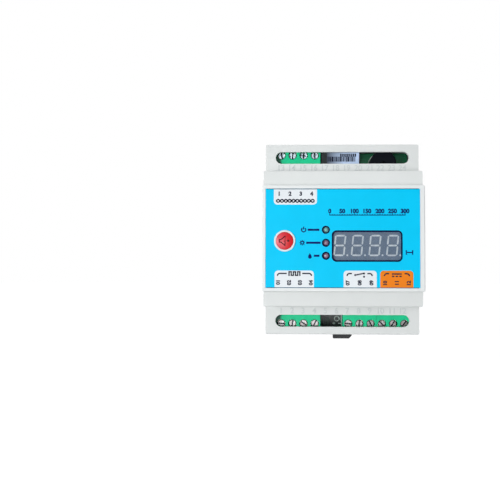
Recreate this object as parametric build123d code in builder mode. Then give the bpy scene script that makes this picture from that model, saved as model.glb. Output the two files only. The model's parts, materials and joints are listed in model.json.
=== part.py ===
from build123d import *
import os

os.makedirs("parts", exist_ok=True)

# Leak detection controller for a 35 mm rail, four modules wide.
# X runs to the right seen from the front, Z runs up, and the front faces -Y.
# The origin is the middle of the pad that seats on the rail. A size called forward
# is a distance from that pad towards the front.

# Terminals: the housing is laid out round them
pitch = 5.08
way_count = 12
sensor_count = 4
bus_count = 4
relay_count = 3
power_count = 3
way_offset = 0.3
block_height = 10.5
block_depth = 8.8
block_end_gap = 0.04
block_chamfer = 1.5
screw_inset = 4.15
well_radius = 1.95
chamber_width = 3.8
chamber_depth = 6.9
chamber_floor = 2.0
well_depth = 3.6
mouth_chamfer = 0.4
screw_head_radius = 1.65
screw_head_height = 1.7
screw_head_sink = 1.5
screw_head_ease = 0.2
screw_slot_width = 0.65
screw_slot_depth = 1.0
screw_shank_radius = 1.25
screw_shank_length = 3.0
cage_width = 3.4
cage_length = 4.4
cage_side = 0.35
cage_roof = 1.4
pin_radius = 0.5
pin_hole_radius = 0.65
pin_tail = 1.2
pin_foot_width = 2.4
pin_foot_length = 3.0
pin_foot_thickness = 0.25
sensor_slot_angles = (100, 86, 88, 95)
lower_slot_angles = (175, 79, 147, 63, 172, 78, 116, 137, 57, 52)

# Housing
wall = 2.0
side_room = 2.12
side_ledge = 0.2
shelf_height = 86.0
strip_height = 59.5
face_height = 45.9
strip_rise = 10.0
face_rise = 5.0
parting_forward = 22.0
foot_depth = 6.5
housing_corner = 0.7
seam_ease = 0.35
level_edge = 0.5
face_edge = 0.5
foot_chamfer = 2.0
rib = 1.6
terminal_room = 0.2
block_inset = 0.4
slot_length = 60.4
slot_width = 5.4
slot_inboard = 1.55
recess_left_margin = 1.4
recess_right_margin = 2.1
recess_end_margin = 1.5
recess_depth = 0.5
recess_corner = 0.3
fit = 0.1
slack = 0.3
overrun = 1.0

# Snap tongues that hold the cover
tongue_thickness = 1.1
tongue_width = 8.0
tongue_place = 20.0
tongue_root = 12.0
tongue_reach = 7.0
barb_height = 2.0
barb_depth = 0.8

# Rail and clip
rail_width = 35.0
rail_flange = 1.0
rail_play = 0.4
pad_margin = 2.9
pad_relief = 0.3
hook_width = 12.0
hook_count = 3
hook_reach = 2.6
hook_tip = 1.0
hook_root = 2.2
clip_centre = 1.5
clip_width = 15.8
clip_thickness = 3.3
clip_play = 0.2
clip_nose_reach = 2.2
clip_nose_slope = 2.3
clip_tab_width = 9.6
clip_tab_reach = 6.8
clip_tab_chamfer = 1.4
clip_tab_round = 0.5
clip_shoulder = 1.5
clip_travel = 4.0
clip_key_width = 5.0
clip_key_height = 1.8
guide_lip = 1.8
arm_thickness = 1.6
arm_gap = 1.2
arm_length = 13.0
arm_notch = 3.0
detent_reach = 0.8
detent_height = 2.5

# Boards
board_rise = 1.2
board_thickness = 1.6
board_corner = 1.0
board_end_gap = 0.3
post_radius = 3.0
post_inset = 4.0
post_place = 24.0
pilot_depth = 9.0
board_screw_radius = 1.45
board_screw_length = 8.0
board_screw_head_radius = 2.8
board_screw_head = 1.9
screw_fit = 0.05
driver_slot_width = 0.8
driver_slot_depth = 0.9
display_board_side_gap = 2.6
display_board_height = 37.0
display_post_radius = 2.4
display_post_inset = 3.2
display_screw_radius = 1.1
display_screw_length = 5.0
display_screw_head_radius = 2.0
display_screw_head = 1.3
screw_crown_share = 0.33

# Front: film, display, lamps and button
film_thickness = 0.4
window_gap = 0.1
digit_count = 4
digit_height = 9.15
digit_width = 4.9
digit_pitch = 7.55
digit_lean_share = 0.087
display_side_margin = 1.275
display_end_margin = 2.45
display_depth = 7.2
display_from_right = 24.85
display_drop = 3.1
window_side_inset = 0.6
window_end_inset = 1.0
window_drop = 0.26
window_corner = 1.4
segment_thickness = 0.7
segment_gap = 0.18
segment_depth = 0.3
point_radius = 0.4
lamp_radius = 1.5
lamp_flange_radius = 1.9
lamp_flange_height = 1.0
lamp_length = 5.3
lamp_window_radius = 1.22
lamp_from_display = 2.65
lamp_pitch = 5.58
lamp_top_place = 3.62
lamp_leg_width = 0.5
lamp_leg_pitch = 1.27
spacer_bore_radius = 1.15
button_from_left = 9.7
button_drop = 1.15
button_radius = 3.75
button_crown = 0.45
button_proud = 0.6
button_flange_radius = 4.9
button_flange_height = 1.0
button_travel = 0.4
collar_radius = 4.55
collar_proud = 0.4
switch_side = 6.0
switch_height = 2.5
switch_corner = 0.5
plunger_radius = 1.75
plunger_root = 1.2

# Between the boards
header_columns = 5
header_rows = 2
header_pitch = 2.54
header_from_lamps = 9.45
header_drop = 9.0
header_base_height = 2.5
socket_height = 8.5
socket_bite = 6.0
pin_side = 0.64
pin_hole_side = 0.72
pin_proud = 0.8
hole_radius = 0.5

# Parts on the main board, seen in the slots
module_width = 18.0
module_height = 13.6
module_thickness = 10.2
module_edge = 0.6
module_gap = 0.3
label_width = 14.7
label_height = 12.2
label_thickness = 0.1
end_gap = 0.5
buzzer_radius = 6.0
buzzer_height = 9.3
buzzer_hole_radius = 1.0
buzzer_hole_depth = 3.0
buzzer_edge = 0.4
buzzer_centre = 19.0
buzzer_gap = 0.2

# Parts on the main board, hidden
relay_width = 19.0
relay_depth = 15.4
relay_height = 15.2
relay_edge = 0.6
relay_centre = 11.0
relay_gap = 2.0
capacitor_radius = 4.0
capacitor_height = 12.0
capacitor_bead = 0.4
capacitor_places = ((-4.0, 16.0), (5.6, 16.0))
choke_side = 10.0
choke_height = 6.0
choke_corner = 2.0
choke_place = (17.0, 15.0)
suppressor_radius = 3.5
suppressor_thickness = 3.2
suppressor_lift = 1.0
suppressor_leg = 0.6
suppressor_place = (25.0, 4.0)
crystal_length = 11.0
crystal_width = 4.6
crystal_height = 3.4
crystal_place = (12.0, 3.0)
controller_side = 10.0
controller_height = 1.5
controller_place = (-1.0, 2.0)
lead_count = 12
lead_pitch = 0.65
lead_width = 0.3
lead_reach = 1.0
lead_thickness = 0.25
bus_length = 5.0
bus_width = 4.0
bus_height = 1.6
bus_place = (-18.0, -25.0)
isolator_length = 6.4
isolator_width = 4.6
isolator_height = 3.5
isolator_edge = 0.4
isolator_places = ((-19.0, 22.0), (-11.5, 22.0))

# Sizes that follow from the ones above
sensor_ways = range(sensor_count)
bus_ways = range(bus_count)
power_ways = range(way_count - power_count, way_count)
relay_ways = range(power_ways.start - relay_count, power_ways.start)
board_back = parting_forward + board_rise
board_front = board_back + board_thickness
shelf_forward = board_front + block_height + terminal_room + wall
strip_forward = shelf_forward + strip_rise
face_forward = strip_forward + face_rise
shelf_width = way_count * pitch + 2 * (side_room + wall)
strip_width = shelf_width + 2 * side_ledge
face_width = strip_width + 2 * side_ledge
cavity_width = shelf_width - 2 * wall
film_floor = face_forward - recess_depth
film_front = film_floor + film_thickness
face_inside = face_forward - wall
channel_half = rail_width / 2 + rail_play
pad_half_height = channel_half - pad_margin
block_outer = shelf_height / 2 - block_inset
block_inner = block_outer - block_depth
screw_place = block_outer - screw_inset
slot_place = screw_place - slot_inboard
block_front = board_front + block_height
well_floor = block_front - well_depth
cage_front = well_floor - slack
head_front = block_front - screw_head_sink
head_back = head_front - screw_head_height
board_width = cavity_width - 2 * (tongue_thickness + fit + slack)
board_height = shelf_height - 2 * (wall + board_end_gap)
strip_cavity_half = strip_height / 2 - wall
post_column = board_width / 2 - post_inset
display_width = (digit_count - 1) * digit_pitch + digit_width + 2 * display_side_margin
display_height = digit_height + 2 * display_end_margin
display_x = face_width / 2 - display_from_right
display_z = -display_drop
window_width = display_width - 2 * window_side_inset
window_height = display_height - 2 * window_end_inset
lamp_x = display_x - display_width / 2 - lamp_from_display
lamp_names = ("led_power", "led_service", "led_leak")
lamp_places = tuple((lamp_x, lamp_top_place - row * lamp_pitch) for row in range(len(lamp_names)))
header_x = lamp_x - header_from_lamps
header_z = -header_drop
button_x = button_from_left - face_width / 2
button_z = -button_drop
module_front_face = film_floor - window_gap
display_board_front = module_front_face - display_depth
display_board_back = display_board_front - board_thickness
display_board_width = cavity_width - 2 * display_board_side_gap
display_post_x = display_board_width / 2 - display_post_inset
display_post_z = display_board_height / 2 - display_post_inset
flange_front = face_inside - slack
flange_back = flange_front - button_flange_height
guide_half = clip_width / 2 + clip_play
guide_floor = rail_flange + clip_play
guide_lip_floor = guide_floor + clip_thickness + 2 * clip_play
guide_room = 2 * (clip_centre + guide_half + detent_reach + clip_play + wall)
clip_back = guide_floor + clip_play
clip_top = -(rail_width / 2 - clip_nose_reach)
clip_bottom = -(shelf_height / 2 - clip_shoulder)


def way_x(way):
    """Places a way across the housing."""
    return (way - (way_count - 1) / 2) * pitch + way_offset


def at(forward, across=0):
    """The plane that faces the front, this far forward of the rail pad and across."""
    return Plane(origin=(across, -forward, 0), x_dir=(1, 0, 0), z_dir=(0, -1, 0))


def slab(width, height, forward, thickness, places=((0, 0),), corner=0, mode=Mode.ADD):
    """Adds or cuts a plate at each place, growing to the front from its back."""
    with BuildSketch(at(forward)) as outline:
        with Locations(*places):
            if corner:
                RectangleRounded(width, height, corner)
            else:
                Rectangle(width, height)
    extrude(outline.sketch, amount=thickness, mode=mode)


def drum(radius, forward, thickness, places=((0, 0),), mode=Mode.ADD):
    """Adds or cuts a round at each place, growing to the front from its back."""
    with BuildSketch(at(forward)) as outline:
        with Locations(*places):
            Circle(radius)
    extrude(outline.sketch, amount=thickness, mode=mode)


def corners(half_x, half_z):
    """The four corners of a rectangle about the middle."""
    return [(x, z) for x in (-half_x, half_x) for z in (-half_z, half_z)]


def level(width, height, back, front):
    """One step of the cover, round at its corners and along its long front edges."""
    with BuildPart() as step:
        with BuildSketch(at(back)):
            RectangleRounded(width, height, housing_corner)
        extrude(amount=front - back)
        with BuildSketch(Plane.YZ.offset(-width / 2)) as side:
            with Locations((-(front + back) / 2, 0)):
                Rectangle(front - back, height)
            fillet(side.vertices().group_by(Axis.X)[0], level_edge)
        extrude(amount=width, mode=Mode.INTERSECT)
    return step.part


def write(piece, name):
    """Names a finished piece and writes it to its own file."""
    piece.part.label = name
    export_step(piece.part, "parts/" + name + ".step")


def ways_span(ways):
    """The middle and the width of a run of ways."""
    return (way_x(ways[0]) + way_x(ways[-1])) / 2, len(ways) * pitch


# The runs of terminals: their ways, and +1 at the top or -1 at the bottom
runs = {
    "sensor_block": (sensor_ways, 1),
    "bus_block": (bus_ways, -1),
    "relay_block": (relay_ways, -1),
    "power_block": (power_ways, -1),
}
# The windows of the end walls: the relay and power runs share one
windows = ((sensor_ways, 1), (bus_ways, -1), (range(relay_ways.start, power_ways.stop), -1))
way_places = [(way_x(way), side * screw_place) for ways, side in runs.values() for way in ways]
slot_angles = sensor_slot_angles + lower_slot_angles
notch_depth = shelf_forward - wall - parting_forward
end_wall_place = shelf_height / 2 - wall / 2

# Front cover: three stepped levels in one moulding
with BuildPart() as front_cover:
    add(level(shelf_width, shelf_height, parting_forward, shelf_forward))
    add(level(strip_width, strip_height, shelf_forward - level_edge, strip_forward))
    slab(face_width, face_height, strip_forward - level_edge, face_rise + level_edge, corner=housing_corner)
    fillet(front_cover.faces().sort_by(Axis.Y)[0].edges(), face_edge)
    # A small groove shows where the cover meets the base
    chamfer(front_cover.faces().sort_by(Axis.Y)[-1].edges(), seam_ease)
    # The hollow follows the three levels
    for height, front in (
        (shelf_height, shelf_forward),
        (strip_height, strip_forward),
        (face_height, face_forward),
    ):
        inside = front - wall - parting_forward
        slab(cavity_width, height - 2 * wall, parting_forward, inside, mode=Mode.SUBTRACT)
    # Slots over the terminal screws
    with BuildSketch(at(shelf_forward - wall - overrun)) as slots:
        with Locations((0, slot_place), (0, -slot_place)):
            SlotOverall(slot_length, slot_width)
    extrude(amount=wall + 2 * overrun, mode=Mode.SUBTRACT)
    # Windows for the wire faces, open at the back edge
    for ways, side in windows:
        middle, span = ways_span(ways)
        place = ((middle, side * end_wall_place),)
        slab(span + 2 * slack, wall + 2 * fit, parting_forward, notch_depth, place, mode=Mode.SUBTRACT)
    # Recess of the film
    recess_width = face_width - recess_left_margin - recess_right_margin
    recess_height = face_height - 2 * recess_end_margin
    film_at = (((recess_left_margin - recess_right_margin) / 2, 0),)
    recess = (recess_width, recess_height, film_floor, recess_depth, film_at)
    slab(*recess, corner=recess_corner, mode=Mode.SUBTRACT)
    # Collar of the button, then the holes through the face
    button_place = ((button_x, button_z),)
    drum(collar_radius, face_inside, wall + collar_proud, button_place)
    drum(button_radius + fit, face_inside, wall + collar_proud, button_place, mode=Mode.SUBTRACT)
    drum(lamp_radius + fit, face_inside, wall, lamp_places, mode=Mode.SUBTRACT)
    display_place = ((display_x, display_z),)
    opening = (display_width + 2 * fit, display_height + 2 * fit)
    slab(*opening, face_inside, wall, display_place, mode=Mode.SUBTRACT)
    # Posts that carry the front board
    display_posts = corners(display_post_x, display_post_z)
    display_post_length = face_inside - display_board_front
    drum(display_post_radius, display_board_front, display_post_length, display_posts)
    pilot = display_screw_length - board_thickness + slack
    drum(display_screw_radius + screw_fit, display_board_front, pilot, display_posts, mode=Mode.SUBTRACT)
    # Pockets for the barbs of the snap tongues
    pocket_height = barb_height + 2 * slack
    pocket_place = parting_forward + tongue_reach - barb_height / 2
    for z in (-tongue_place, tongue_place):
        with BuildSketch(Plane.XY.offset(z - tongue_width / 2 - slack)):
            with Locations((0, -pocket_place)):
                Rectangle(cavity_width + 2 * (barb_depth + fit), pocket_height)
        extrude(amount=tongue_width + 2 * slack, mode=Mode.SUBTRACT)
write(front_cover, "front_cover")

# Rear base: a side profile with the rail channel, hollowed from the front
with BuildPart() as rear_base:
    with BuildSketch(Plane.YZ.offset(-shelf_width / 2)):
        with BuildLine():
            Polyline(
                (-parting_forward, 0),
                (-parting_forward, shelf_height / 2),
                (foot_depth - foot_chamfer, shelf_height / 2),
                (foot_depth, shelf_height / 2 - foot_chamfer),
                (foot_depth, channel_half),
                (-pad_relief, channel_half),
                (-pad_relief, pad_half_height),
                (0, pad_half_height),
                (0, 0),
            )
            mirror(about=Plane.XZ)
        make_face()
    extrude(amount=shelf_width)
    with BuildSketch(at(-foot_depth)):
        RectangleRounded(shelf_width, shelf_height, housing_corner)
    extrude(amount=foot_depth + parting_forward, mode=Mode.INTERSECT)
    # Main hollow, then the hollows of the feet
    hollow_depth = parting_forward - wall - pad_relief
    slab(cavity_width, shelf_height - 2 * wall, wall + pad_relief, hollow_depth, mode=Mode.SUBTRACT)
    foot_hollow = shelf_height / 2 - channel_half - 2 * wall
    foot_middle = (shelf_height / 2 + channel_half) / 2
    side_hollow = (cavity_width - guide_room) / 2
    side_middle = (cavity_width + guide_room) / 4
    foot_bottom = wall - foot_depth
    foot_hollow_depth = foot_depth + pad_relief
    side_places = corners(side_middle, foot_middle)
    slab(side_hollow, foot_hollow, foot_bottom, foot_hollow_depth, side_places, mode=Mode.SUBTRACT)
    middle_hollow = guide_room - 2 * rib
    top_place = ((0, foot_middle),)
    slab(middle_hollow, foot_hollow, foot_bottom, foot_hollow_depth, top_place, mode=Mode.SUBTRACT)
    # Fixed hooks over the upper edge of the rail
    hook_pitch = (shelf_width - hook_width) / (hook_count - 1)
    hook_back = rail_flange + clip_play
    for index in range(hook_count):
        with BuildSketch(Plane.YZ.offset(index * hook_pitch - shelf_width / 2)):
            with BuildLine():
                Polyline(
                    (hook_back, channel_half + wall),
                    (hook_back, channel_half - hook_reach),
                    (hook_back + hook_tip, channel_half - hook_reach),
                    (hook_back + hook_root, channel_half),
                    (hook_back + hook_root, channel_half + wall),
                    close=True,
                )
            make_face()
        extrude(amount=hook_width)
    # Guide of the clip: a wide slot under two lips, open at its lower end
    guide_length = shelf_height / 2 - channel_half + 2 * overrun
    guide_place = ((clip_centre, -foot_middle),)
    lip_opening = 2 * (guide_half - guide_lip)
    guide_depth = guide_lip_floor - guide_floor
    slab(2 * guide_half, guide_length, -guide_lip_floor, guide_depth, guide_place, mode=Mode.SUBTRACT)
    lip_depth = foot_depth - guide_lip_floor + overrun
    slab(lip_opening, guide_length, -foot_depth - overrun, lip_depth, guide_place, mode=Mode.SUBTRACT)
    # Side pockets that stop the detents at both ends of the travel
    detent_top = clip_bottom + clip_shoulder + arm_length - arm_gap
    pocket_length = detent_height + clip_travel + 2 * clip_play
    pocket_middle = detent_top + clip_play - pocket_length / 2
    pocket_width = 2 * (guide_half + detent_reach)
    pocket_at = ((clip_centre, pocket_middle),)
    slab(pocket_width, pocket_length, -guide_lip_floor, guide_depth, pocket_at, mode=Mode.SUBTRACT)
    # Posts of the main board
    posts = corners(post_column, post_place)
    post_length = board_back - foot_bottom
    drum(post_radius, foot_bottom, post_length, posts)
    pilot_back = board_back - pilot_depth
    drum(board_screw_radius + screw_fit, pilot_back, pilot_depth, posts, mode=Mode.SUBTRACT)
    # Tongues that fill the windows below the board
    for ways, side in windows:
        middle, span = ways_span(ways)
        place = ((middle, side * end_wall_place),)
        slab(span - 2 * fit, wall, parting_forward, board_rise + board_thickness / 2, place)
    # Snap tongues with barbs
    tongue_outer = cavity_width / 2 - fit
    tongue_inner = tongue_outer - tongue_thickness
    tongue_tip = parting_forward + tongue_reach
    for z in (-tongue_place, tongue_place):
        with BuildSketch(Plane.XY.offset(z - tongue_width / 2)):
            with BuildLine():
                Polyline(
                    (tongue_inner, -tongue_root),
                    (tongue_inner, -tongue_tip),
                    (tongue_outer, -tongue_tip),
                    (tongue_outer + barb_depth, -tongue_tip + barb_height),
                    (tongue_outer, -tongue_tip + barb_height),
                    (tongue_outer, -parting_forward),
                    (tongue_outer + fit + wall / 2, -parting_forward),
                    (tongue_outer + fit + wall / 2, -tongue_root),
                    close=True,
                )
            make_face()
            mirror(about=Plane.YZ)
        extrude(amount=tongue_width)
write(rear_base, "rear_base")

# Front film, with a hole for each thing that shows
with BuildPart() as overlay_film:
    film_width = recess_width - 2 * fit
    film_height = recess_height - 2 * fit
    slab(film_width, film_height, film_floor, film_thickness, film_at, corner=recess_corner)
    drum(collar_radius + fit, film_floor, film_thickness, button_place, mode=Mode.SUBTRACT)
    drum(lamp_window_radius, film_floor, film_thickness, lamp_places, mode=Mode.SUBTRACT)
    window_place = ((display_x, display_z - window_drop),)
    window = (window_width, window_height, film_floor, film_thickness, window_place)
    slab(*window, corner=window_corner, mode=Mode.SUBTRACT)
write(overlay_film, "overlay_film")

# Clear part of the film over the display
with BuildPart() as display_window:
    slab(*window, corner=window_corner)
write(display_window, "display_window")

# Sliding clip: a flat plate with a wedge nose, two sprung arms and a pull tab
with BuildPart() as din_clip:
    arm_outer = clip_width / 2
    core_half = arm_outer - arm_thickness - arm_gap
    arm_foot = clip_bottom + clip_shoulder
    arm_top = arm_foot + arm_length
    tab_bottom = -shelf_height / 2 - clip_tab_reach
    with BuildSketch(at(-clip_back - clip_thickness, clip_centre)) as plate:
        with BuildLine():
            Polyline(
                (0, clip_top),
                (arm_outer, clip_top),
                (arm_outer, arm_top + arm_notch),
                (core_half, arm_top + arm_notch),
                (core_half, arm_foot),
                (core_half + arm_gap, arm_foot),
                (core_half + arm_gap, arm_top),
                (arm_outer, arm_top),
                (arm_outer, detent_top),
                (arm_outer + detent_reach, detent_top - detent_reach),
                (arm_outer + detent_reach, detent_top - detent_height + detent_reach),
                (arm_outer, detent_top - detent_height),
                (arm_outer, clip_bottom),
                (clip_tab_width / 2, clip_bottom),
                (clip_tab_width / 2, tab_bottom),
                (0, tab_bottom),
                close=True,
            )
        make_face()
        mirror(about=Plane.YZ)
        lower = plate.vertices().group_by(Axis.Y)[0].sort_by(Axis.X)
        chamfer(lower[-1], clip_tab_chamfer)
        lower = plate.vertices().group_by(Axis.Y)[0].sort_by(Axis.X)
        fillet(lower[0], clip_tab_round)
    extrude(amount=clip_thickness)
    # The nose slopes at the back, so that the rail pushes the clip down
    nose = din_clip.faces().sort_by(Axis.Z)[-1].edges().sort_by(Axis.Y)[-1]
    chamfer(nose, clip_nose_slope)
    # Slot for the tip of a screwdriver
    key_place = ((clip_centre, -shelf_height / 2 - clip_tab_reach / 2),)
    key = (clip_key_width, clip_key_height, -clip_back - clip_thickness, clip_thickness, key_place)
    slab(*key, mode=Mode.SUBTRACT)
write(din_clip, "din_clip")

# Main board
socket_width = header_columns * header_pitch
socket_depth = header_rows * header_pitch
with BuildPart() as main_board:
    slab(board_width, board_height, board_back, board_thickness, corner=board_corner)
    drum(board_screw_radius + fit, board_back, board_thickness, posts, mode=Mode.SUBTRACT)
    drum(pin_hole_radius, board_back, board_thickness, way_places, mode=Mode.SUBTRACT)
write(main_board, "main_board")

# Front board, which carries display, lamps and switch
header_pins_at = [
    (header_x + (column - (header_columns - 1) / 2) * header_pitch,
     header_z + (row - (header_rows - 1) / 2) * header_pitch)
    for column in range(header_columns)
    for row in range(header_rows)
]
leg_places = [
    (x + side * lamp_leg_pitch / 2, z) for x, z in lamp_places for side in (-1, 1)
]
with BuildPart() as display_board:
    board_size = (display_board_width, display_board_height)
    slab(*board_size, display_board_back, board_thickness, corner=board_corner)
    hole_screw = display_screw_radius + fit
    drum(hole_screw, display_board_back, board_thickness, display_posts, mode=Mode.SUBTRACT)
    drum(hole_radius, display_board_back, board_thickness, header_pins_at, mode=Mode.SUBTRACT)
    drum(hole_radius, display_board_back, board_thickness, leg_places, mode=Mode.SUBTRACT)
write(display_board, "display_board")


def pan_screws(head_radius, head_height, radius, length, face, places, outward):
    """Screws seated on a face, heads towards the front (+1) or the back (-1)."""
    with BuildPart() as screws:
        head_at = face if outward > 0 else face - head_height
        drum(head_radius, head_at, head_height, places)
        crown_at = 0 if outward > 0 else -1
        crowns = screws.faces().filter_by(Axis.Y).group_by(Axis.Y)[crown_at].edges()
        fillet(crowns, head_height * screw_crown_share)
        shank_at = face - length if outward > 0 else face
        drum(radius, shank_at, length, places)
        slot_at = face + head_height - driver_slot_depth if outward > 0 else face - head_height
        slot = (2 * head_radius + overrun, driver_slot_width, slot_at, driver_slot_depth, places)
        slab(*slot, mode=Mode.SUBTRACT)
    return screws


board_screws = pan_screws(
    board_screw_head_radius, board_screw_head, board_screw_radius, board_screw_length, board_front, posts, 1
)
write(board_screws, "board_screws")
display_screws = pan_screws(
    display_screw_head_radius, display_screw_head, display_screw_radius, display_screw_length,
    display_board_back, display_posts, -1
)
write(display_screws, "display_board_screws")


def terminal_block(ways, side):
    """A run of screw terminals: profile, screw wells and wire chambers with eased mouths."""
    middle, span = ways_span(ways)
    half = span / 2 - block_end_gap
    places = [(way_x(way), side * screw_place) for way in ways]
    chamber_at = [(x, side * (block_outer - chamber_depth / 2)) for x, z in places]
    with BuildPart() as body:
        with BuildSketch(Plane.YZ.offset(middle - half)):
            with BuildLine():
                Polyline(
                    (-board_front, side * block_inner),
                    (-block_front, side * block_inner),
                    (-block_front, side * (block_outer - block_chamfer)),
                    (-block_front + block_chamfer, side * block_outer),
                    (-board_front, side * block_outer),
                    close=True,
                )
            make_face()
        extrude(amount=2 * half)
        drum(well_radius, well_floor, well_depth, places, mode=Mode.SUBTRACT)
        floor_at = board_front + chamber_floor
        chamber = (chamber_width, chamber_depth, floor_at, well_floor - floor_at, chamber_at)
        slab(*chamber, mode=Mode.SUBTRACT)
        mouths = [
            edge
            for edge in body.edges()
            if abs(abs(edge.center().Z) - block_outer) < fit / 2
            and abs(edge.center().X - middle) < half - fit / 2
            and floor_at - fit / 2 < -edge.center().Y < well_floor + fit / 2
        ]
        chamfer(mouths, mouth_chamfer)
        drum(pin_hole_radius, board_front, chamber_floor, places, mode=Mode.SUBTRACT)
    return body


for name, (ways, side) in runs.items():
    write(terminal_block(ways, side), name)

# Terminal screws, each slot left at its own angle
with BuildPart() as terminal_screws:
    drum(screw_head_radius, head_back, screw_head_height, way_places)
    rims = terminal_screws.faces().filter_by(Axis.Y).group_by(Axis.Y)[0].edges()
    chamfer(rims, screw_head_ease)
    drum(screw_shank_radius, head_back - screw_shank_length, screw_shank_length, way_places)
    with BuildSketch(at(head_front - screw_slot_depth)):
        for index, place in enumerate(way_places):
            with Locations(place):
                turn = slot_angles[index % len(slot_angles)]
                Rectangle(2 * screw_head_radius + overrun, screw_slot_width, rotation=turn)
    extrude(amount=screw_slot_depth, mode=Mode.SUBTRACT)
write(terminal_screws, "terminal_screws")

# Clamp cages: each rises on its screw and grips the wire
foot_front = board_front + chamber_floor + pin_foot_thickness
cage_back = foot_front + fit
cage_height = cage_front - cage_back
with BuildPart() as clamp_cages:
    slab(cage_width, cage_length, cage_back, cage_height, way_places)
    grip = cage_height - cage_roof - cage_side
    bore_width = cage_width - 2 * cage_side
    slab(bore_width, cage_length, cage_back + cage_side, grip, way_places, mode=Mode.SUBTRACT)
    drum(screw_shank_radius + screw_fit, cage_front - cage_roof, cage_roof, way_places, mode=Mode.SUBTRACT)
write(clamp_cages, "clamp_cages")

# Contacts: a foot under the cage and a pin through the board
with BuildPart() as terminal_pins:
    slab(pin_foot_width, pin_foot_length, board_front + chamber_floor, pin_foot_thickness, way_places)
    pin_length = foot_front - board_back + pin_tail
    drum(pin_radius, board_back - pin_tail, pin_length, way_places)
write(terminal_pins, "terminal_pins")


def segment_bars():
    """The seven bars of a digit as middle, length and whether it stands."""
    quarter = digit_height / 4
    long_x = digit_width - segment_thickness
    long_z = digit_height / 2 - segment_thickness / 2
    edge_x = long_x / 2
    edge_z = (digit_height - segment_thickness) / 2
    bars = [((0, z), long_x, False) for z in (-edge_z, 0, edge_z)]
    bars += [((x, z), long_z, True) for x in (-edge_x, edge_x) for z in (-quarter, quarter)]
    return bars


def draw_segments():
    """Draws the bars and points of the digits in the sketch in use."""
    for index in range(digit_count):
        middle = display_x + (index - (digit_count - 1) / 2) * digit_pitch - point_radius
        for (x, z), length, stands in segment_bars():
            run = length - 2 * segment_gap
            lean = z * digit_lean_share
            with Locations((middle + x + lean, display_z + z)):
                half, thick = run / 2, segment_thickness / 2
                if stands:
                    low = -half * digit_lean_share
                    Polygon(
                        (low, -half), (low + thick, -half + thick), (-low + thick, half - thick),
                        (-low, half), (-low - thick, half - thick), (low - thick, -half + thick),
                        align=None,
                    )
                else:
                    Polygon(
                        (-half, 0), (-half + thick, thick), (half - thick, thick),
                        (half, 0), (half - thick, -thick), (-half + thick, -thick),
                        align=None,
                    )
        corner = (middle + digit_width / 2 + 2 * point_radius, display_z - digit_height / 2 + point_radius)
        with Locations(corner):
            Circle(point_radius)


# Display body, with a pocket for each bar
with BuildPart() as display_module:
    slab(display_width, display_height, display_board_front, display_depth, display_place)
    with BuildSketch(at(module_front_face - segment_depth)):
        draw_segments()
    extrude(amount=segment_depth, mode=Mode.SUBTRACT)
write(display_module, "display_module")

# The bars and points of the digits
with BuildPart() as display_segments:
    with BuildSketch(at(module_front_face - segment_depth)):
        draw_segments()
    extrude(amount=segment_depth)
write(display_segments, "display_segments")

# Lamps: a domed body on a flange, with two legs through the front board
lamp_top = film_floor - window_gap
lamp_base = lamp_top - lamp_length


def lamp(place):
    """One lamp at its place, legs and all."""
    x, z = place
    with BuildPart() as body:
        with BuildSketch(Plane(origin=(x, 0, z), x_dir=(1, 0, 0), z_dir=(0, 0, 1))) as half:
            with BuildLine():
                shoulder = (lamp_radius, -(lamp_top - lamp_radius))
                Polyline(
                    (0, -lamp_top),
                    (0, -lamp_base),
                    (lamp_flange_radius, -lamp_base),
                    (lamp_flange_radius, -(lamp_base + lamp_flange_height)),
                    (lamp_radius, -(lamp_base + lamp_flange_height)),
                    shoulder,
                )
                RadiusArc(shoulder, (0, -lamp_top), lamp_radius)
            make_face()
        revolve(axis=Axis((x, 0, z), (0, 1, 0)))
        legs = [(x + side * lamp_leg_pitch / 2, z) for side in (-1, 1)]
        leg_back = display_board_back - pin_proud
        slab(lamp_leg_width, lamp_leg_width, leg_back, lamp_base - leg_back, legs)
    return body


for name, place in zip(lamp_names, lamp_places):
    write(lamp(place), name)

# Collars that hold the lamps at height
with BuildPart() as led_spacers:
    collar_height = lamp_base - display_board_front
    drum(lamp_flange_radius, display_board_front, collar_height, lamp_places)
    drum(spacer_bore_radius, display_board_front, collar_height, lamp_places, mode=Mode.SUBTRACT)
write(led_spacers, "led_spacers")

# Button: a crowned head on a flange that stays behind the face
button_rim = face_forward + collar_proud + button_proud - button_crown
with BuildPart() as mute_button:
    with BuildSketch(Plane(origin=(button_x, 0, button_z), x_dir=(1, 0, 0), z_dir=(0, 0, 1))):
        with BuildLine():
            Polyline(
                (0, -button_rim - button_crown),
                (0, -flange_back),
                (button_flange_radius, -flange_back),
                (button_flange_radius, -flange_front),
                (button_radius, -flange_front),
                (button_radius, -button_rim),
            )
            crown_radius = (button_radius**2 + button_crown**2) / (2 * button_crown)
            RadiusArc((button_radius, -button_rim), (0, -button_rim - button_crown), crown_radius)
        make_face()
    revolve(axis=Axis((button_x, 0, button_z), (0, 1, 0)))
write(mute_button, "mute_button")

# Push switch: a square body and a round plunger
switch_top = display_board_front + switch_height
with BuildPart() as switch_body:
    slab(switch_side, switch_side, display_board_front, switch_height, button_place, corner=switch_corner)
    plunger_back = switch_top - plunger_root
    bore_back = plunger_back - button_travel - fit
    bore_depth = switch_top - bore_back
    drum(plunger_radius + fit, bore_back, bore_depth, button_place, mode=Mode.SUBTRACT)
write(switch_body, "switch_body")

with BuildPart() as switch_plunger:
    drum(plunger_radius, plunger_back, flange_back - plunger_back, button_place)
write(switch_plunger, "switch_plunger")

# Connector between the boards: socket, spacer and ten long pins
with BuildPart() as header_socket:
    header_at = ((header_x, header_z),)
    slab(socket_width, socket_depth, board_front, socket_height, header_at)
    bite = socket_bite + fit
    bores = (pin_hole_side, pin_hole_side, board_front + socket_height - bite, bite, header_pins_at)
    slab(*bores, mode=Mode.SUBTRACT)
write(header_socket, "header_socket")

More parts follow.
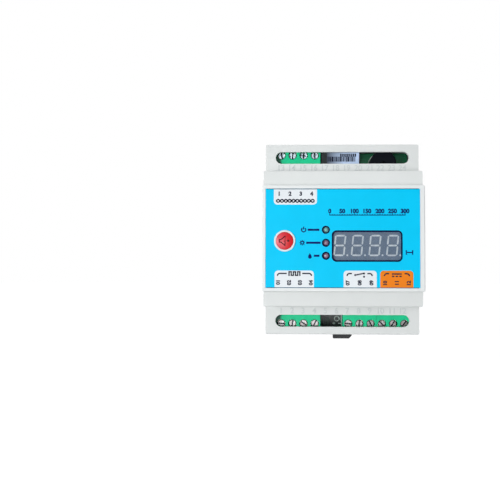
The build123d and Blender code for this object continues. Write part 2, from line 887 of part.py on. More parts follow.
with BuildPart() as header_base:
    base_back = display_board_back - header_base_height
    slab(socket_width, socket_depth, base_back, header_base_height, header_at)
    bores = (pin_hole_side, pin_hole_side, base_back, header_base_height, header_pins_at)
    slab(*bores, mode=Mode.SUBTRACT)
write(header_base, "header_base")

with BuildPart() as header_pins:
    pin_back = board_front + socket_height - socket_bite
    pin_run = display_board_front + pin_proud - pin_back
    slab(pin_side, pin_side, pin_back, pin_run, header_pins_at)
write(header_pins, "header_pins")

# Potted power module with a label on its front
cavity_end = shelf_height / 2 - wall
module_z = cavity_end - end_gap - module_height / 2
sensor_middle, sensor_span = ways_span(sensor_ways)
module_x = sensor_middle + sensor_span / 2 + module_gap + module_width / 2
module_at = ((module_x, module_z),)
with BuildPart() as power_module:
    slab(module_width, module_height, board_front, module_thickness, module_at)
    fillet(power_module.faces().sort_by(Axis.Y)[0].edges(), module_edge)
write(power_module, "power_module")

with BuildPart() as module_label:
    label_x = module_x + (module_width - label_width) / 2 - module_edge
    label_at = ((label_x, module_z),)
    slab(label_width, label_height, board_front + module_thickness, label_thickness, label_at)
write(module_label, "module_label")

# Buzzer: a round can with a sound hole
buzzer_z = cavity_end - buzzer_gap - buzzer_radius
buzzer_at = ((buzzer_centre, buzzer_z),)
with BuildPart() as buzzer:
    drum(buzzer_radius, board_front, buzzer_height, buzzer_at)
    fillet(buzzer.faces().sort_by(Axis.Y)[0].edges(), buzzer_edge)
    hole_at = board_front + buzzer_height - buzzer_hole_depth
    drum(buzzer_hole_radius, hole_at, buzzer_hole_depth, buzzer_at, mode=Mode.SUBTRACT)
write(buzzer, "buzzer")

# Relay: a sealed box
with BuildPart() as relay:
    relay_z = -(strip_cavity_half - relay_gap - relay_depth / 2)
    slab(relay_width, relay_depth, board_front, relay_height, ((relay_centre, relay_z),))
    fillet(relay.faces().sort_by(Axis.Y)[0].edges(), relay_edge)
write(relay, "relay")

# Filter capacitors, beaded near the foot
with BuildPart() as capacitors:
    drum(capacitor_radius, board_front, capacitor_height, capacitor_places)
    fillet(capacitors.faces().filter_by(Axis.Y).group_by(Axis.Y)[0].edges(), capacitor_bead)
write(capacitors, "capacitors")

with BuildPart() as choke:
    slab(choke_side, choke_side, board_front, choke_height, (choke_place,), corner=choke_corner)
write(choke, "choke")

# Surge suppressor: a disc standing on two legs
suppressor_x, suppressor_z = suppressor_place
with BuildPart() as surge_suppressor:
    disc_centre = board_front + suppressor_lift + suppressor_radius
    with BuildSketch(Plane.XY.offset(suppressor_z - suppressor_thickness / 2)):
        with Locations((suppressor_x, -disc_centre)):
            Circle(suppressor_radius)
    extrude(amount=suppressor_thickness)
    legs = [(suppressor_x + side * suppressor_radius / 2, suppressor_z) for side in (-1, 1)]
    slab(suppressor_leg, suppressor_leg, board_front, suppressor_lift + suppressor_radius / 2, legs)
write(surge_suppressor, "surge_suppressor")

with BuildPart() as crystal:
    with BuildSketch(at(board_front)):
        with Locations(crystal_place):
            SlotOverall(crystal_length, crystal_width)
    extrude(amount=crystal_height)
write(crystal, "crystal")

# Processor: a flat chip with a row of leads on each side
with BuildPart() as controller_chip:
    chip_x, chip_z = controller_place
    chip_at = (controller_place,)
    slab(controller_side, controller_side, board_front + fit, controller_height, chip_at)
    row = [(index - (lead_count - 1) / 2) * lead_pitch for index in range(lead_count)]
    reach = controller_side + 2 * lead_reach
    slab(reach, lead_width, board_front, lead_thickness, [(chip_x, chip_z + step) for step in row])
    slab(lead_width, reach, board_front, lead_thickness, [(chip_x + step, chip_z) for step in row])
write(controller_chip, "controller_chip")

with BuildPart() as bus_chip:
    slab(bus_length, bus_width, board_front, bus_height, (bus_place,))
    chamfer(bus_chip.faces().sort_by(Axis.Y)[0].edges(), lead_thickness)
write(bus_chip, "bus_chip")

with BuildPart() as isolators:
    slab(isolator_length, isolator_width, board_front, isolator_height, isolator_places)
    chamfer(isolators.faces().filter_by(Axis.Y).group_by(Axis.Y)[0].edges(), isolator_edge)
write(isolators, "isolators")
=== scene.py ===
"""The looks of the leak detection controller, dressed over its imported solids."""

import json
import logging
import math
from dataclasses import dataclass
from enum import Enum
from typing import Iterable, Sequence

import bmesh
import bpy
from mathutils import Matrix, Vector

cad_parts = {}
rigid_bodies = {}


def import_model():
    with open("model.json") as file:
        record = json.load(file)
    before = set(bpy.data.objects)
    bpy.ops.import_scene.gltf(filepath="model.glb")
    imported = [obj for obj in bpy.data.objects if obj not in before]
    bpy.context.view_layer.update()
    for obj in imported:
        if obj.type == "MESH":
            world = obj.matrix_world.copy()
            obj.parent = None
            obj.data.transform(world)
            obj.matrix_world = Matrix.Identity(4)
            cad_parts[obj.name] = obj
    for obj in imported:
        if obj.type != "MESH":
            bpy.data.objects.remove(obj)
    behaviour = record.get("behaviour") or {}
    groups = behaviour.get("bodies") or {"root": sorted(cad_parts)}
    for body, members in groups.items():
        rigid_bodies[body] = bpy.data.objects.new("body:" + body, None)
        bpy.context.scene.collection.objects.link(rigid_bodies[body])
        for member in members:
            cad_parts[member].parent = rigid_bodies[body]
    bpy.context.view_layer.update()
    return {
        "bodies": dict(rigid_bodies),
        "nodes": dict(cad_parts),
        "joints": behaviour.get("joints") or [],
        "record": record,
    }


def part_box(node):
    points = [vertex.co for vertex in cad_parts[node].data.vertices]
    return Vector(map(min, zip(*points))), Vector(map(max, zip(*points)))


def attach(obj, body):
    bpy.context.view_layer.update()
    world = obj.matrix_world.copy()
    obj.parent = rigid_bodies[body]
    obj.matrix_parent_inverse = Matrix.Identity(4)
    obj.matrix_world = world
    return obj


MM = 0.001
FACING_FRONT = Matrix.Rotation(math.radians(90), 4, "X")
WAY_COUNT = 12
WAY_PITCH = 5.08 * MM
BOLD = 0.055
CHANNEL_TOP = 255
SRGB_KNEE, SRGB_SLOPE, SRGB_LIFT, SRGB_POWER = 0.04045, 12.92, 0.055, 2.4
NOISE_LOW, NOISE_HIGH = 0.3, 0.7
MIX_FIRST, MIX_SECOND, MIX_RESULT = 6, 7, 2
BEND_STEPS, DOT_STEPS, HUB_STEPS, ARC_STEPS, ROUND_STEPS, WIDE_STEPS = 8, 16, 20, 24, 48, 72
SQUARE = (0, 0, 0, 0)
HALF_THICK = 0.5

Point = tuple[float, float]
Span = tuple[float, float]
Triple = tuple[float, float, float]
Channels = tuple[float, float, float, float]
Outline = list[Point]
Colour = tuple[int, int, int]
Socket = bpy.types.NodeSocket

log = logging.getLogger("controller")


class Body(Enum):
    """The bodies of the frame that a piece can ride on."""

    HOUSING = "housing"
    CLIP = "clip"
    BUTTON = "button"


class Ink(Enum):
    """The print colours of the front film, and of what is printed on the boards."""

    WHITE = (230, 235, 239)
    NAVY = (8, 24, 98)
    DEEP = (0, 10, 52)
    MAROON = (62, 8, 18)
    ORANGE = (238, 130, 26)
    CHARCOAL = (36, 40, 58)
    BLACK = (14, 18, 40)
    SILK = (226, 238, 233)
    FAINT = (72, 98, 90)


def linear(colour: Colour) -> Channels:
    """Turns a screen colour into the renderer's own.

    Args:
        colour: Red, green and blue from 0 to 255.

    Returns:
        The four channels in linear light.
    """
    bent = []
    for share in (channel / CHANNEL_TOP for channel in colour):
        above = ((share + SRGB_LIFT) / (1 + SRGB_LIFT)) ** SRGB_POWER
        bent.append(share / SRGB_SLOPE if share <= SRGB_KNEE else above)
    return (bent[0], bent[1], bent[2], 1.0)


class Tree:
    """A node tree while it is being put together."""

    start = "ShaderNode"

    def __init__(self, tree: bpy.types.NodeTree) -> None:
        """Takes the tree that it adds to."""
        self.tree = tree

    def node(self, kind: str, **settings: object) -> bpy.types.Node:
        """Adds a node.

        Args:
            kind: The node's type, without its common start, or a shader's in full.
            settings: Properties to set on it.

        Returns:
            The new node.
        """
        made = self.tree.nodes.new(kind if kind.startswith(Tree.start) else self.start + kind)
        for key, value in settings.items():
            setattr(made, key, value)
        return made

    def link(self, source: Socket, target: Socket) -> None:
        """Joins two sockets."""
        self.tree.links.new(source, target)

    def ranged(
        self, source: Socket, low: float, high: float, start: float = NOISE_LOW, end: float = NOISE_HIGH,
    ) -> Socket:
        """Maps a factor onto another range.

        Args:
            source: The factor.
            low: The result at the start.
            high: The result at the end.
            start: Where the range starts.
            end: Where the range ends.

        Returns:
            The mapped value.
        """
        made = self.node("MapRange")
        for key, value in (("From Min", start), ("From Max", end), ("To Min", low), ("To Max", high)):
            made.inputs[key].default_value = value
        self.link(source, made.inputs["Value"])
        return made.outputs["Result"]

    def seen_by_eye(self) -> Socket:
        """Tells rays from the camera, off gloss or through glass from all others.

        Returns:
            A socket that is 1 for such a ray and 0 for others.
        """
        path = self.node("LightPath")
        total = path.outputs["Is Camera Ray"]
        for key in ("Is Glossy Ray", "Is Transmission Ray"):
            either = self.node("Math", operation="MAXIMUM")
            self.link(total, either.inputs[0])
            self.link(path.outputs[key], either.inputs[1])
            total = either.outputs[0]
        return total


class Recipe(Tree):
    """A node material while it is being put together."""

    def __init__(self, name: str) -> None:
        """Starts an empty material with its shader.

        Args:
            name: The material's name.
        """
        self.material = bpy.data.materials.new(name)
        self.material.use_nodes = True
        super().__init__(self.material.node_tree)
        self.shader = self.tree.nodes["Principled BSDF"]
        self.spot = self.node("TexCoord").outputs["Object"]

    def set(self, **values: object) -> None:
        """Sets values on the shader, where an underscore stands for a space."""
        for key, value in values.items():
            self.shader.inputs[key.replace("_", " ")].default_value = value

    def stretched(self, stretch: Sequence[float]) -> Socket:
        """Scales the place by axis.

        Args:
            stretch: The scale on X, Y and Z.

        Returns:
            The scaled place.
        """
        mapping = self.node("Mapping")
        mapping.inputs["Scale"].default_value = stretch
        self.link(self.spot, mapping.inputs["Vector"])
        return mapping.outputs["Vector"]

    def along(self, axis: str) -> Socket:
        """Reads the place along one axis.

        Args:
            axis: X, Y or Z.

        Returns:
            The place in metres.
        """
        split = self.node("SeparateXYZ")
        self.link(self.spot, split.inputs["Vector"])
        return split.outputs[axis]

    def noise(self, grain: float, detail: float = 2.0, place: Socket | None = None) -> Socket:
        """Adds soft noise.

        Args:
            grain: The size of its blots in metres.
            detail: How many finer layers it has.
            place: Where it reads its place, or the object's own.

        Returns:
            The noise from 0 to 1.
        """
        made = self.node("TexNoise")
        made.inputs["Scale"].default_value = 1 / grain
        made.inputs["Detail"].default_value = detail
        self.link(place or self.spot, made.inputs["Vector"])
        return made.outputs["Fac"]

    def blend(self, factor: Socket, first: Socket | Colour, second: Socket | Colour) -> Socket:
        """Mixes two colours.

        Args:
            factor: How much of the second shows.
            first: A colour or a socket.
            second: A colour or a socket.

        Returns:
            The mixed colour.
        """
        made = self.node("Mix", data_type="RGBA")
        self.link(factor, made.inputs["Factor"])
        for key, value in ((MIX_FIRST, first), (MIX_SECOND, second)):
            if isinstance(value, Socket):
                self.link(value, made.inputs[key])
            else:
                made.inputs[key].default_value = linear(value)
        return made.outputs[MIX_RESULT]

    def faded(self, colour: Socket, fades: Iterable["Fade"]) -> Socket:
        """Lays fades of painted shade or painted highlight over a colour.

        Args:
            colour: The colour that they start from.
            fades: The fades, from the lowest up.

        Returns:
            The colour with the fades.
        """
        for fade in fades:
            colour = fade.over(self, colour)
        return colour

    def bump(self, height: Socket, depth: float, strength: float, below: Socket | None = None) -> Socket:
        """Adds a relief to the normal.

        Args:
            height: The height from 0 to 1.
            depth: Its depth in metres.
            strength: Its strength from 0 to 1.
            below: A relief that this one lies on.

        Returns:
            The normal.
        """
        made = self.node("Bump")
        made.inputs["Distance"].default_value = depth
        made.inputs["Strength"].default_value = strength
        self.link(height, made.inputs["Height"])
        if below:
            self.link(below, made.inputs["Normal"])
        return made.outputs["Normal"]

    def wear(
        self, colour: Socket, gloss: Socket | None = None, normal: Socket | None = None,
    ) -> bpy.types.Material:
        """Joins what was made to the shader.

        Args:
            colour: The socket of the base colour.
            gloss: The socket of the roughness, if it varies.
            normal: The socket of the normal, if it has relief.

        Returns:
            The finished material.
        """
        self.link(colour, self.shader.inputs["Base Color"])
        if gloss:
            self.link(gloss, self.shader.inputs["Roughness"])
        if normal:
            self.link(normal, self.shader.inputs["Normal"])
        return self.material


@dataclass(frozen=True)
class Fade:
    """A change to another colour along one axis of a node, from one share of its size to another. Each one in
    this script paints shade or a highlight into the colour.
    """

    node: str
    axis: str
    start_share: float
    end_share: float
    colour: Colour
    most: float = 1.0

    def over(self, recipe: Recipe, below: Socket) -> Socket:
        """Lays the fade over a colour.

        Args:
            recipe: The material that it joins.
            below: The colour that it starts from.

        Returns:
            The colour with the fade.
        """
        box, axis = Box.of(self.node), self.axis.lower()
        low, size = getattr(box.low, axis), getattr(box.size, axis)
        start, end = low + size * self.start_share, low + size * self.end_share
        factor = recipe.ranged(recipe.along(self.axis), 0, self.most, start, end)
        return recipe.blend(factor, below, self.colour)


@dataclass(frozen=True)
class Moulded:
    """Moulded plastic, paper or ink: an even colour with a faint mottle and a fine spark-eroded grain."""

    name: str
    colour: Colour
    mottle: float = 0.04
    blot: float = 9 * MM
    gloss: Span = (0.42, 0.52)
    gloss_share: float = 3
    detail: float = 3
    grain: float = 0.22 * MM
    relief: float = 0.012 * MM
    strength: float = 0.35
    coat: float = 0.0
    specular: float = 0.5
    fades: tuple[Fade, ...] = ()

    def material(self) -> bpy.types.Material:
        """Mixes the material.

        Returns:
            The finished material.
        """
        recipe = Recipe(self.name)
        shaded = tuple(round(channel * (1 - self.mottle)) for channel in self.colour)
        wide = recipe.ranged(recipe.noise(self.blot, self.detail), 0, 1)
        sheen = recipe.noise(self.blot / self.gloss_share, self.detail)
        recipe.set(Coat_Weight=self.coat, Specular_IOR_Level=self.specular)
        return recipe.wear(
            recipe.faded(recipe.blend(wide, self.colour, shaded), self.fades),
            recipe.ranged(sheen, *self.gloss),
            recipe.bump(recipe.noise(self.grain, self.detail), self.relief, self.strength),
        )


@dataclass(frozen=True)
class Plated:
    """Plated metal: a soft sheen with brushed scratches and dull blots."""

    name: str
    colour: Colour
    dull: Colour
    gloss: Span = (0.22, 0.42)
    scratch: Triple = (1.0, 1.0, 7.0)
    grain: float = 0.3 * MM
    blot: float = 1.4 * MM
    blot_edge: Span = (0.42, 0.66)
    detail: float = 4
    relief: float = 0.01 * MM
    strength: float = 0.5
    fades: tuple[Fade, ...] = ()

    def material(self) -> bpy.types.Material:
        """Mixes the material.

        Returns:
            The finished material.
        """
        recipe = Recipe(self.name)
        lines = recipe.noise(self.grain, self.detail, recipe.stretched(self.scratch))
        blots = recipe.ranged(recipe.noise(self.blot, self.detail), 0, 1, *self.blot_edge)
        recipe.set(Metallic=1.0)
        return recipe.wear(
            recipe.faded(recipe.blend(blots, self.colour, self.dull), self.fades),
            recipe.ranged(lines, *self.gloss),
            recipe.bump(lines, self.relief, self.strength),
        )


@dataclass(frozen=True)
class SolderMask:
    """A printed board: green lacquer over raised copper runs, with the faint weave of its glass cloth."""

    name: str
    colour: Colour
    run_colour: Colour
    run_cell: float = 3.9 * MM
    run_spread: float = 0.7
    run_fold: float = 0.12
    run_edge: Span = (0.055, 0.065)
    run_relief: float = 0.03 * MM
    run_strength: float = 0.5
    weave: float = 0.35 * MM
    weave_stretch: Triple = (1, 0.2, 1)
    weave_relief: float = 0.008 * MM
    weave_strength: float = 0.25
    blot: float = 4 * MM
    gloss: Span = (0.28, 0.4)
    fades: tuple[Fade, ...] = ()

    def material(self) -> bpy.types.Material:
        """Mixes the material.

        Returns:
            The finished material.
        """
        recipe = Recipe(self.name)
        cells = recipe.node("TexVoronoi", distance="CHEBYCHEV", feature="F1")
        cells.inputs["Scale"].default_value = 1 / self.run_cell
        cells.inputs["Randomness"].default_value = self.run_spread
        recipe.link(recipe.spot, cells.inputs["Vector"])
        wave = recipe.node("Math", operation="PINGPONG")
        wave.inputs[1].default_value = self.run_fold
        recipe.link(cells.outputs["Distance"], wave.inputs[0])
        runs = recipe.ranged(wave.outputs[0], 0, 1, *self.run_edge)
        weave = recipe.noise(self.weave, 1, recipe.stretched(self.weave_stretch))
        cloth = recipe.bump(weave, self.weave_relief, self.weave_strength)
        recipe.set(Coat_Weight=0.1, Coat_Roughness=0.2, Specular_IOR_Level=0.25)
        return recipe.wear(
            recipe.faded(recipe.blend(runs, self.colour, self.run_colour), self.fades),
            recipe.ranged(recipe.noise(self.blot), *self.gloss),
            recipe.bump(runs, self.run_relief, self.run_strength, cloth),
        )


@dataclass(frozen=True)
class ClearFilm:
    """A thin clear film with a satin face."""

    name: str
    colour: Colour
    pale: Colour
    cover: float
    blot: float = 5 * MM
    gloss: Span = (0.16, 0.28)
    gloss_blot: float = 2 * MM
    grain: float = 0.12 * MM
    relief: float = 0.004 * MM
    strength: float = 0.3

    def material(self) -> bpy.types.Material:
        """Mixes the material.

        Returns:
            The finished material.
        """
        recipe = Recipe(self.name)
        recipe.set(Alpha=self.cover, Specular_IOR_Level=0.15)
        return recipe.wear(
            recipe.blend(recipe.ranged(recipe.noise(self.blot), 0, 1), self.colour, self.pale),
            recipe.ranged(recipe.noise(self.gloss_blot), *self.gloss),
            recipe.bump(recipe.noise(self.grain), self.relief, self.strength),
        )


@dataclass(frozen=True)
class Diffused:
    """Milky tinted resin, as in an unlit lamp or the bars of a display."""

    name: str
    colour: Colour
    core: Colour
    depth: float = 0.4 * MM
    gloss: Span = (0.25, 0.4)
    gloss_blot: float = 0.8 * MM
    blot: float = 1.6 * MM
    detail: float = 3
    grain: float = 0.15 * MM
    relief: float = 0.006 * MM
    strength: float = 0.3

    def material(self) -> bpy.types.Material:
        """Mixes the material.

        Returns:
            The finished material.
        """
        recipe = Recipe(self.name)
        wide = recipe.ranged(recipe.noise(self.blot, self.detail), 0, 1)
        recipe.set(Subsurface_Weight=0.35, Subsurface_Scale=self.depth, Coat_Weight=0.2)
        recipe.set(Subsurface_Radius=(1.0, 0.8, 0.7))
        return recipe.wear(
            recipe.blend(wide, self.colour, self.core),
            recipe.ranged(recipe.noise(self.gloss_blot), *self.gloss),
            recipe.bump(recipe.noise(self.grain), self.relief, self.strength),
        )


FILM_GRAIN = {"mottle": 0.02, "grain": 0.14 * MM, "relief": 0.004 * MM}
HOUSING = Moulded(
    "housing_plastic", (220, 223, 222), mottle=0.018, blot=14 * MM, gloss=(0.5, 0.6), specular=0.3,
    # Painted highlight: the cover's front face is painted paler than the steps behind it, for the light that
    # it catches.
    fades=(Fade("front_cover", "Y", 0.08, 0.04, (228, 231, 231)),),
)
# Painted shade: the raised numbers are painted a little darker than the housing, for the shade along their
# raised edges.
RAISED = Moulded("housing_numbers", (206, 211, 211), mottle=0.02, gloss=(0.5, 0.6), specular=0.3)
FILM = Moulded("film_blue", (2, 202, 248), gloss=(0.36, 0.44), specular=0.06, **FILM_GRAIN)
# Painted shadow: a dark blue for the thin lines where the film meets the wall of its recess.
FILM_GAP_SHADOW = Moulded("film_gap_shadow", (12, 84, 112), gloss=(0.4, 0.5), specular=0.1, **FILM_GRAIN)
CLIP = Moulded("clip_black", (40, 41, 44), mottle=0.2, gloss=(0.4, 0.55), relief=0.02 * MM, specular=0.25)
BUTTON = Moulded(
    "button_red", (208, 4, 18), gloss=(0.25, 0.31), relief=0.005 * MM, specular=0.36,
    # Painted highlight: the left of the button is painted paler pink, for the gloss that the lamps leave
    # there.
    fades=(Fade("mute_button", "X", 0.66, 0.12, (214, 72, 88)),),
)
BLACK = Moulded("black_plastic", (4, 9, 18), mottle=0.25, gloss=(0.42, 0.55), specular=0.06)
DISPLAY_BODY = Moulded(
    "display_grey", (84, 103, 126), mottle=0.1, blot=0.9 * MM, gloss=(0.4, 0.55), specular=0.2,
)
RELAY_CASE = Moulded("relay_blue", (28, 74, 140), mottle=0.08, gloss=(0.3, 0.4), specular=0.3)
POTTING = Moulded("potting_black", (32, 39, 39), mottle=0.3, blot=2.4 * MM, grain=0.4 * MM, specular=0.18)
LABEL = Moulded(
    "label_paper", (190, 210, 240), mottle=0.1, blot=3 * MM, gloss=(0.5, 0.65), specular=0.2,
    # Painted shadow: the label darkens towards its left end, for the shade that falls there.
    fades=(Fade("module_label", "X", 0.52, -0.05, (38, 43, 52)),),
)
SLEEVE = Moulded("capacitor_sleeve", (26, 32, 46), mottle=0.2, gloss=(0.24, 0.34), specular=0.3)
FERRITE = Moulded("ferrite_grey", (62, 62, 66), mottle=0.2, blot=1.2 * MM, gloss=(0.5, 0.7), relief=0.03 * MM)
SUPPRESSOR = Moulded(
    "suppressor_blue", (30, 84, 168), mottle=0.12, blot=1.5 * MM, gloss=(0.2, 0.32), coat=0.4,
)
TERMINAL = Moulded(
    "terminal_green", (12, 200, 142), mottle=0.07, blot=3 * MM, gloss=(0.34, 0.46), specular=0.18,
    # Painted shadow: the blocks at the left darken towards their left ends, for the shadow that the slots'
    # rounded ends cast on them.
    fades=(Fade("bus_block", "X", 0.15, 0.09, (8, 70, 54)),),
)
PAPER_WHITE = Moulded("print_white", Ink.WHITE.value, gloss=(0.36, 0.44), specular=0.12, **FILM_GRAIN)
PRINT_ORANGE = Moulded("print_orange", Ink.ORANGE.value, gloss=(0.36, 0.44), specular=0.1, **FILM_GRAIN)
PRINT_NAVY, PRINT_DEEP, PRINT_MAROON, PRINT_CHARCOAL, PRINT_BLACK = (
    Moulded("print_" + ink.name.lower(), ink.value, gloss=(0.4, 0.5), specular=0.06, **FILM_GRAIN)
    for ink in (Ink.NAVY, Ink.DEEP, Ink.MAROON, Ink.CHARCOAL, Ink.BLACK)
)
PRINT_SILK, PRINT_FAINT = (
    Moulded("print_" + ink.name.lower(), ink.value, mottle, 0.5 * MM, (0.5, 0.65), specular=0.2)
    for ink, mottle in ((Ink.SILK, 0.15), (Ink.FAINT, 0.2))
)
TERMINAL_STEEL = Plated(
    "terminal_steel", (184, 196, 206), (66, 78, 88),
    fades=(
        # Painted shade: the lower row of screws is painted darker, and every screw darkens behind the front
        # of its head, for the shade in the wells and slots.
        Fade("terminal_screws", "Z", 0.7, 0.3, (112, 104, 100), 0.8),
        Fade("terminal_screws", "Y", 0.12, 0.18, (34, 38, 42)),
    ),
)
SCREW_STEEL = Plated("screw_steel", (204, 206, 208), (132, 134, 138))
CLAMP_METAL = Plated("clamp_metal", (206, 202, 190), (158, 150, 132), gloss=(0.28, 0.45))
CONTACT = Plated("contact_metal", (222, 206, 158), (176, 158, 118), gloss=(0.2, 0.36))
CAN_METAL = Plated("can_metal", (208, 210, 214), (170, 172, 178), gloss=(0.16, 0.3), scratch=(1, 1, 1))
SOLDER = Plated("solder_metal", (196, 198, 202), (150, 152, 158), gloss=(0.14, 0.3), scratch=(1, 1, 1))
BOARD = SolderMask(
    "board_green", (9, 124, 78), (18, 140, 90),
    # Painted shade: the main board is painted much darker towards its lower end and, less so, towards its
    # right end, for the shade deep in the slots.
    fades=(
        Fade("main_board", "Z", 0.2, 0.1, (4, 26, 22)),
        Fade("main_board", "X", 0.72, 0.96, (4, 26, 22), 0.5),
    ),
)
WINDOW = ClearFilm("window_clear", (150, 162, 178), (226, 232, 240), 0.04)
SEGMENT = Diffused("segment_pale", (188, 198, 204), (152, 164, 174))
LAMP_GREEN = Diffused("lamp_green", (136, 194, 188), (106, 164, 160))
LAMP_PINK = Diffused("lamp_pink", (174, 144, 166), (146, 118, 140))

Finish = Moulded | Plated | SolderMask | ClearFilm | Diffused

NODE_FINISHES: dict[str, Finish] = {
    "rear_base": HOUSING, "front_cover": HOUSING, "overlay_film": FILM, "display_window": WINDOW,
    "din_clip": CLIP, "mute_button": BUTTON, "switch_plunger": BLACK, "switch_body": BLACK,
    "main_board": BOARD, "display_board": BOARD, "header_socket": BLACK, "header_base": BLACK,
    "header_pins": CONTACT, "display_module": DISPLAY_BODY, "display_segments": SEGMENT,
    "led_power": LAMP_GREEN, "led_service": LAMP_PINK, "led_leak": LAMP_PINK, "led_spacers": BLACK,
    "relay": RELAY_CASE, "buzzer": BLACK, "power_module": POTTING, "module_label": LABEL,
    "capacitors": SLEEVE, "choke": FERRITE, "surge_suppressor": SUPPRESSOR, "crystal": CAN_METAL,
    "controller_chip": BLACK, "bus_chip": BLACK, "isolators": BLACK, "sensor_block": TERMINAL,
    "bus_block": TERMINAL, "relay_block": TERMINAL, "power_block": TERMINAL,
    "terminal_screws": TERMINAL_STEEL, "clamp_cages": CLAMP_METAL, "terminal_pins": CONTACT,
    "board_screws": SCREW_STEEL, "display_board_screws": SCREW_STEEL,
}


class Paintbox:
    """Makes each finish once and hands it out."""

    def __init__(self) -> None:
        """Starts with nothing mixed."""
        self.mixed: dict[str, bpy.types.Material] = {}

    def __getitem__(self, finish: Finish) -> bpy.types.Material:
        """Gives the material of a finish.

        Args:
            finish: The finish.

        Returns:
            Its material, mixed at its first use.
        """
        if finish.name not in self.mixed:
            self.mixed[finish.name] = finish.material()
        return self.mixed[finish.name]


PAINTS = Paintbox()


@dataclass
class Box:
    """A node's box in the frame, in metres."""

    low: Vector
    high: Vector

    @classmethod
    def of(cls, node: str) -> "Box":
        """Reads the box of a node."""
        return cls(*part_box(node))

    @property
    def middle(self) -> Vector:
        """The middle of the box."""
        return (self.low + self.high) / 2

    @property
    def size(self) -> Vector:
        """The width, depth and height of the box."""
        return self.high - self.low

    @property
    def front(self) -> float:
        """How far the box reaches to the front, on Y."""
        return self.low.y


def ring_points(
    middle: Point, radius: float, count: int = ROUND_STEPS, start: float = 0.0, end: float = 360.0,
) -> Outline:
    """Points on a circle or an arc.

    Args:
        middle: The middle.
        radius: The radius.
        count: How many steps it has.
        start: Where it starts, in degrees.
        end: Where it ends, in degrees.

    Returns:
        The points, with the last one only on an arc.
    """
    whole = abs(end - start) >= 360
    steps = range(count if whole else count + 1)
    turns = [math.radians(start + (end - start) * step / count) for step in steps]
    return [(middle[0] + radius * math.cos(t), middle[1] + radius * math.sin(t)) for t in turns]


def rounded(low: Point, high: Point, radii: Sequence[float]) -> Outline:
    """A rectangle with its own radius at each corner.

    Args:
        low: The lower left corner.
        high: The upper right corner.
        radii: The radii at lower left, lower right, upper right and upper left.

    Returns:
        The outline.
    """
    corners = ((low[0], low[1]), (high[0], low[1]), (high[0], high[1]), (low[0], high[1]))
    inward = ((1, 1), (-1, 1), (-1, -1), (1, -1))
    outline: Outline = []
    for index, (corner, side, radius) in enumerate(zip(corners, inward, radii)):
        middle = (corner[0] + side[0] * radius, corner[1] + side[1] * radius)
        start = 180 + 90 * index
        outline += ring_points(middle, radius, BEND_STEPS, start, start + 90) if radius else [corner]
    return outline


def stroke(path: Sequence[Point], width: float) -> Outline:
    """A line of even width along a path.

    Args:
        path: The points of the line.
        width: Its width.

    Returns:
        The closed outline round it.
    """
    sides: tuple[Outline, Outline] = ([], [])
    for index, here in enumerate(path):
        before = Vector(path[max(index - 1, 0)])
        after = Vector(path[min(index + 1, len(path) - 1)])
        along = (after - before).normalized()
        across = Vector((-along.y, along.x)) * width / 2
        sides[0].append((here[0] + across.x, here[1] + across.y))
        sides[1].append((here[0] - across.x, here[1] - across.y))
    return sides[0] + sides[1][::-1]


def stretched_line(start: Point, end: Point, more: float) -> Outline:
    """A straight line that reaches past both of its ends.

    Args:
        start: Its start.
        end: Its end.
        more: How far it reaches past them.

    Returns:
        The two new ends.
    """
    along = (Vector(end) - Vector(start)).normalized() * more
    return [(start[0] - along.x, start[1] - along.y), (end[0] + along.x, end[1] + along.y)]


def held(name: str, data: bpy.types.ID) -> bpy.types.Object:
    """Puts data in the scene as a new object.

    Args:
        name: The object's name.
        data: Its mesh, curve, letters, camera or lamp.

    Returns:
        The object.
    """
    holder = bpy.data.objects.new(name, data)
    bpy.context.scene.collection.objects.link(holder)
    return holder


def frozen(holder: bpy.types.Object) -> bpy.types.Mesh:
    """Turns what an object shows into a plain mesh, and takes the object away.

    Args:
        holder: The object.

    Returns:
        The mesh.
    """
    bpy.context.view_layer.update()
    graph = bpy.context.evaluated_depsgraph_get()
    mesh = bpy.data.meshes.new_from_object(holder.evaluated_get(graph))
    holder.modifiers.clear()
    bpy.data.objects.remove(holder)
    return mesh


def outline_mesh(name: str, outlines: Iterable[Outline], thickness: float) -> bpy.types.Mesh:
    """Fills outlines that lie in one plane; one inside another is a hole.

    Args:
        name: The mesh's name.
        outlines: The closed outlines.
        thickness: How thick the plate is.

    Returns:
        The mesh, with its back on the plane and its face at the thickness.
    """
    curve = bpy.data.curves.new(name, "CURVE")
    curve.dimensions = "2D"
    curve.fill_mode = "BOTH"
    curve.extrude = HALF_THICK
    for outline in outlines:
        spline = curve.splines.new("POLY")
        spline.points.add(len(outline) - 1)
        for point, (x, z) in zip(spline.points, outline):
            point.co = (x / MM, z / MM, 0, 1)
        spline.use_cyclic_u = True
    mesh = frozen(held(name, curve))
    mesh.transform(Matrix.Diagonal((MM, MM, thickness, 1)) @ Matrix.Translation((0, 0, HALF_THICK)))
    return mesh


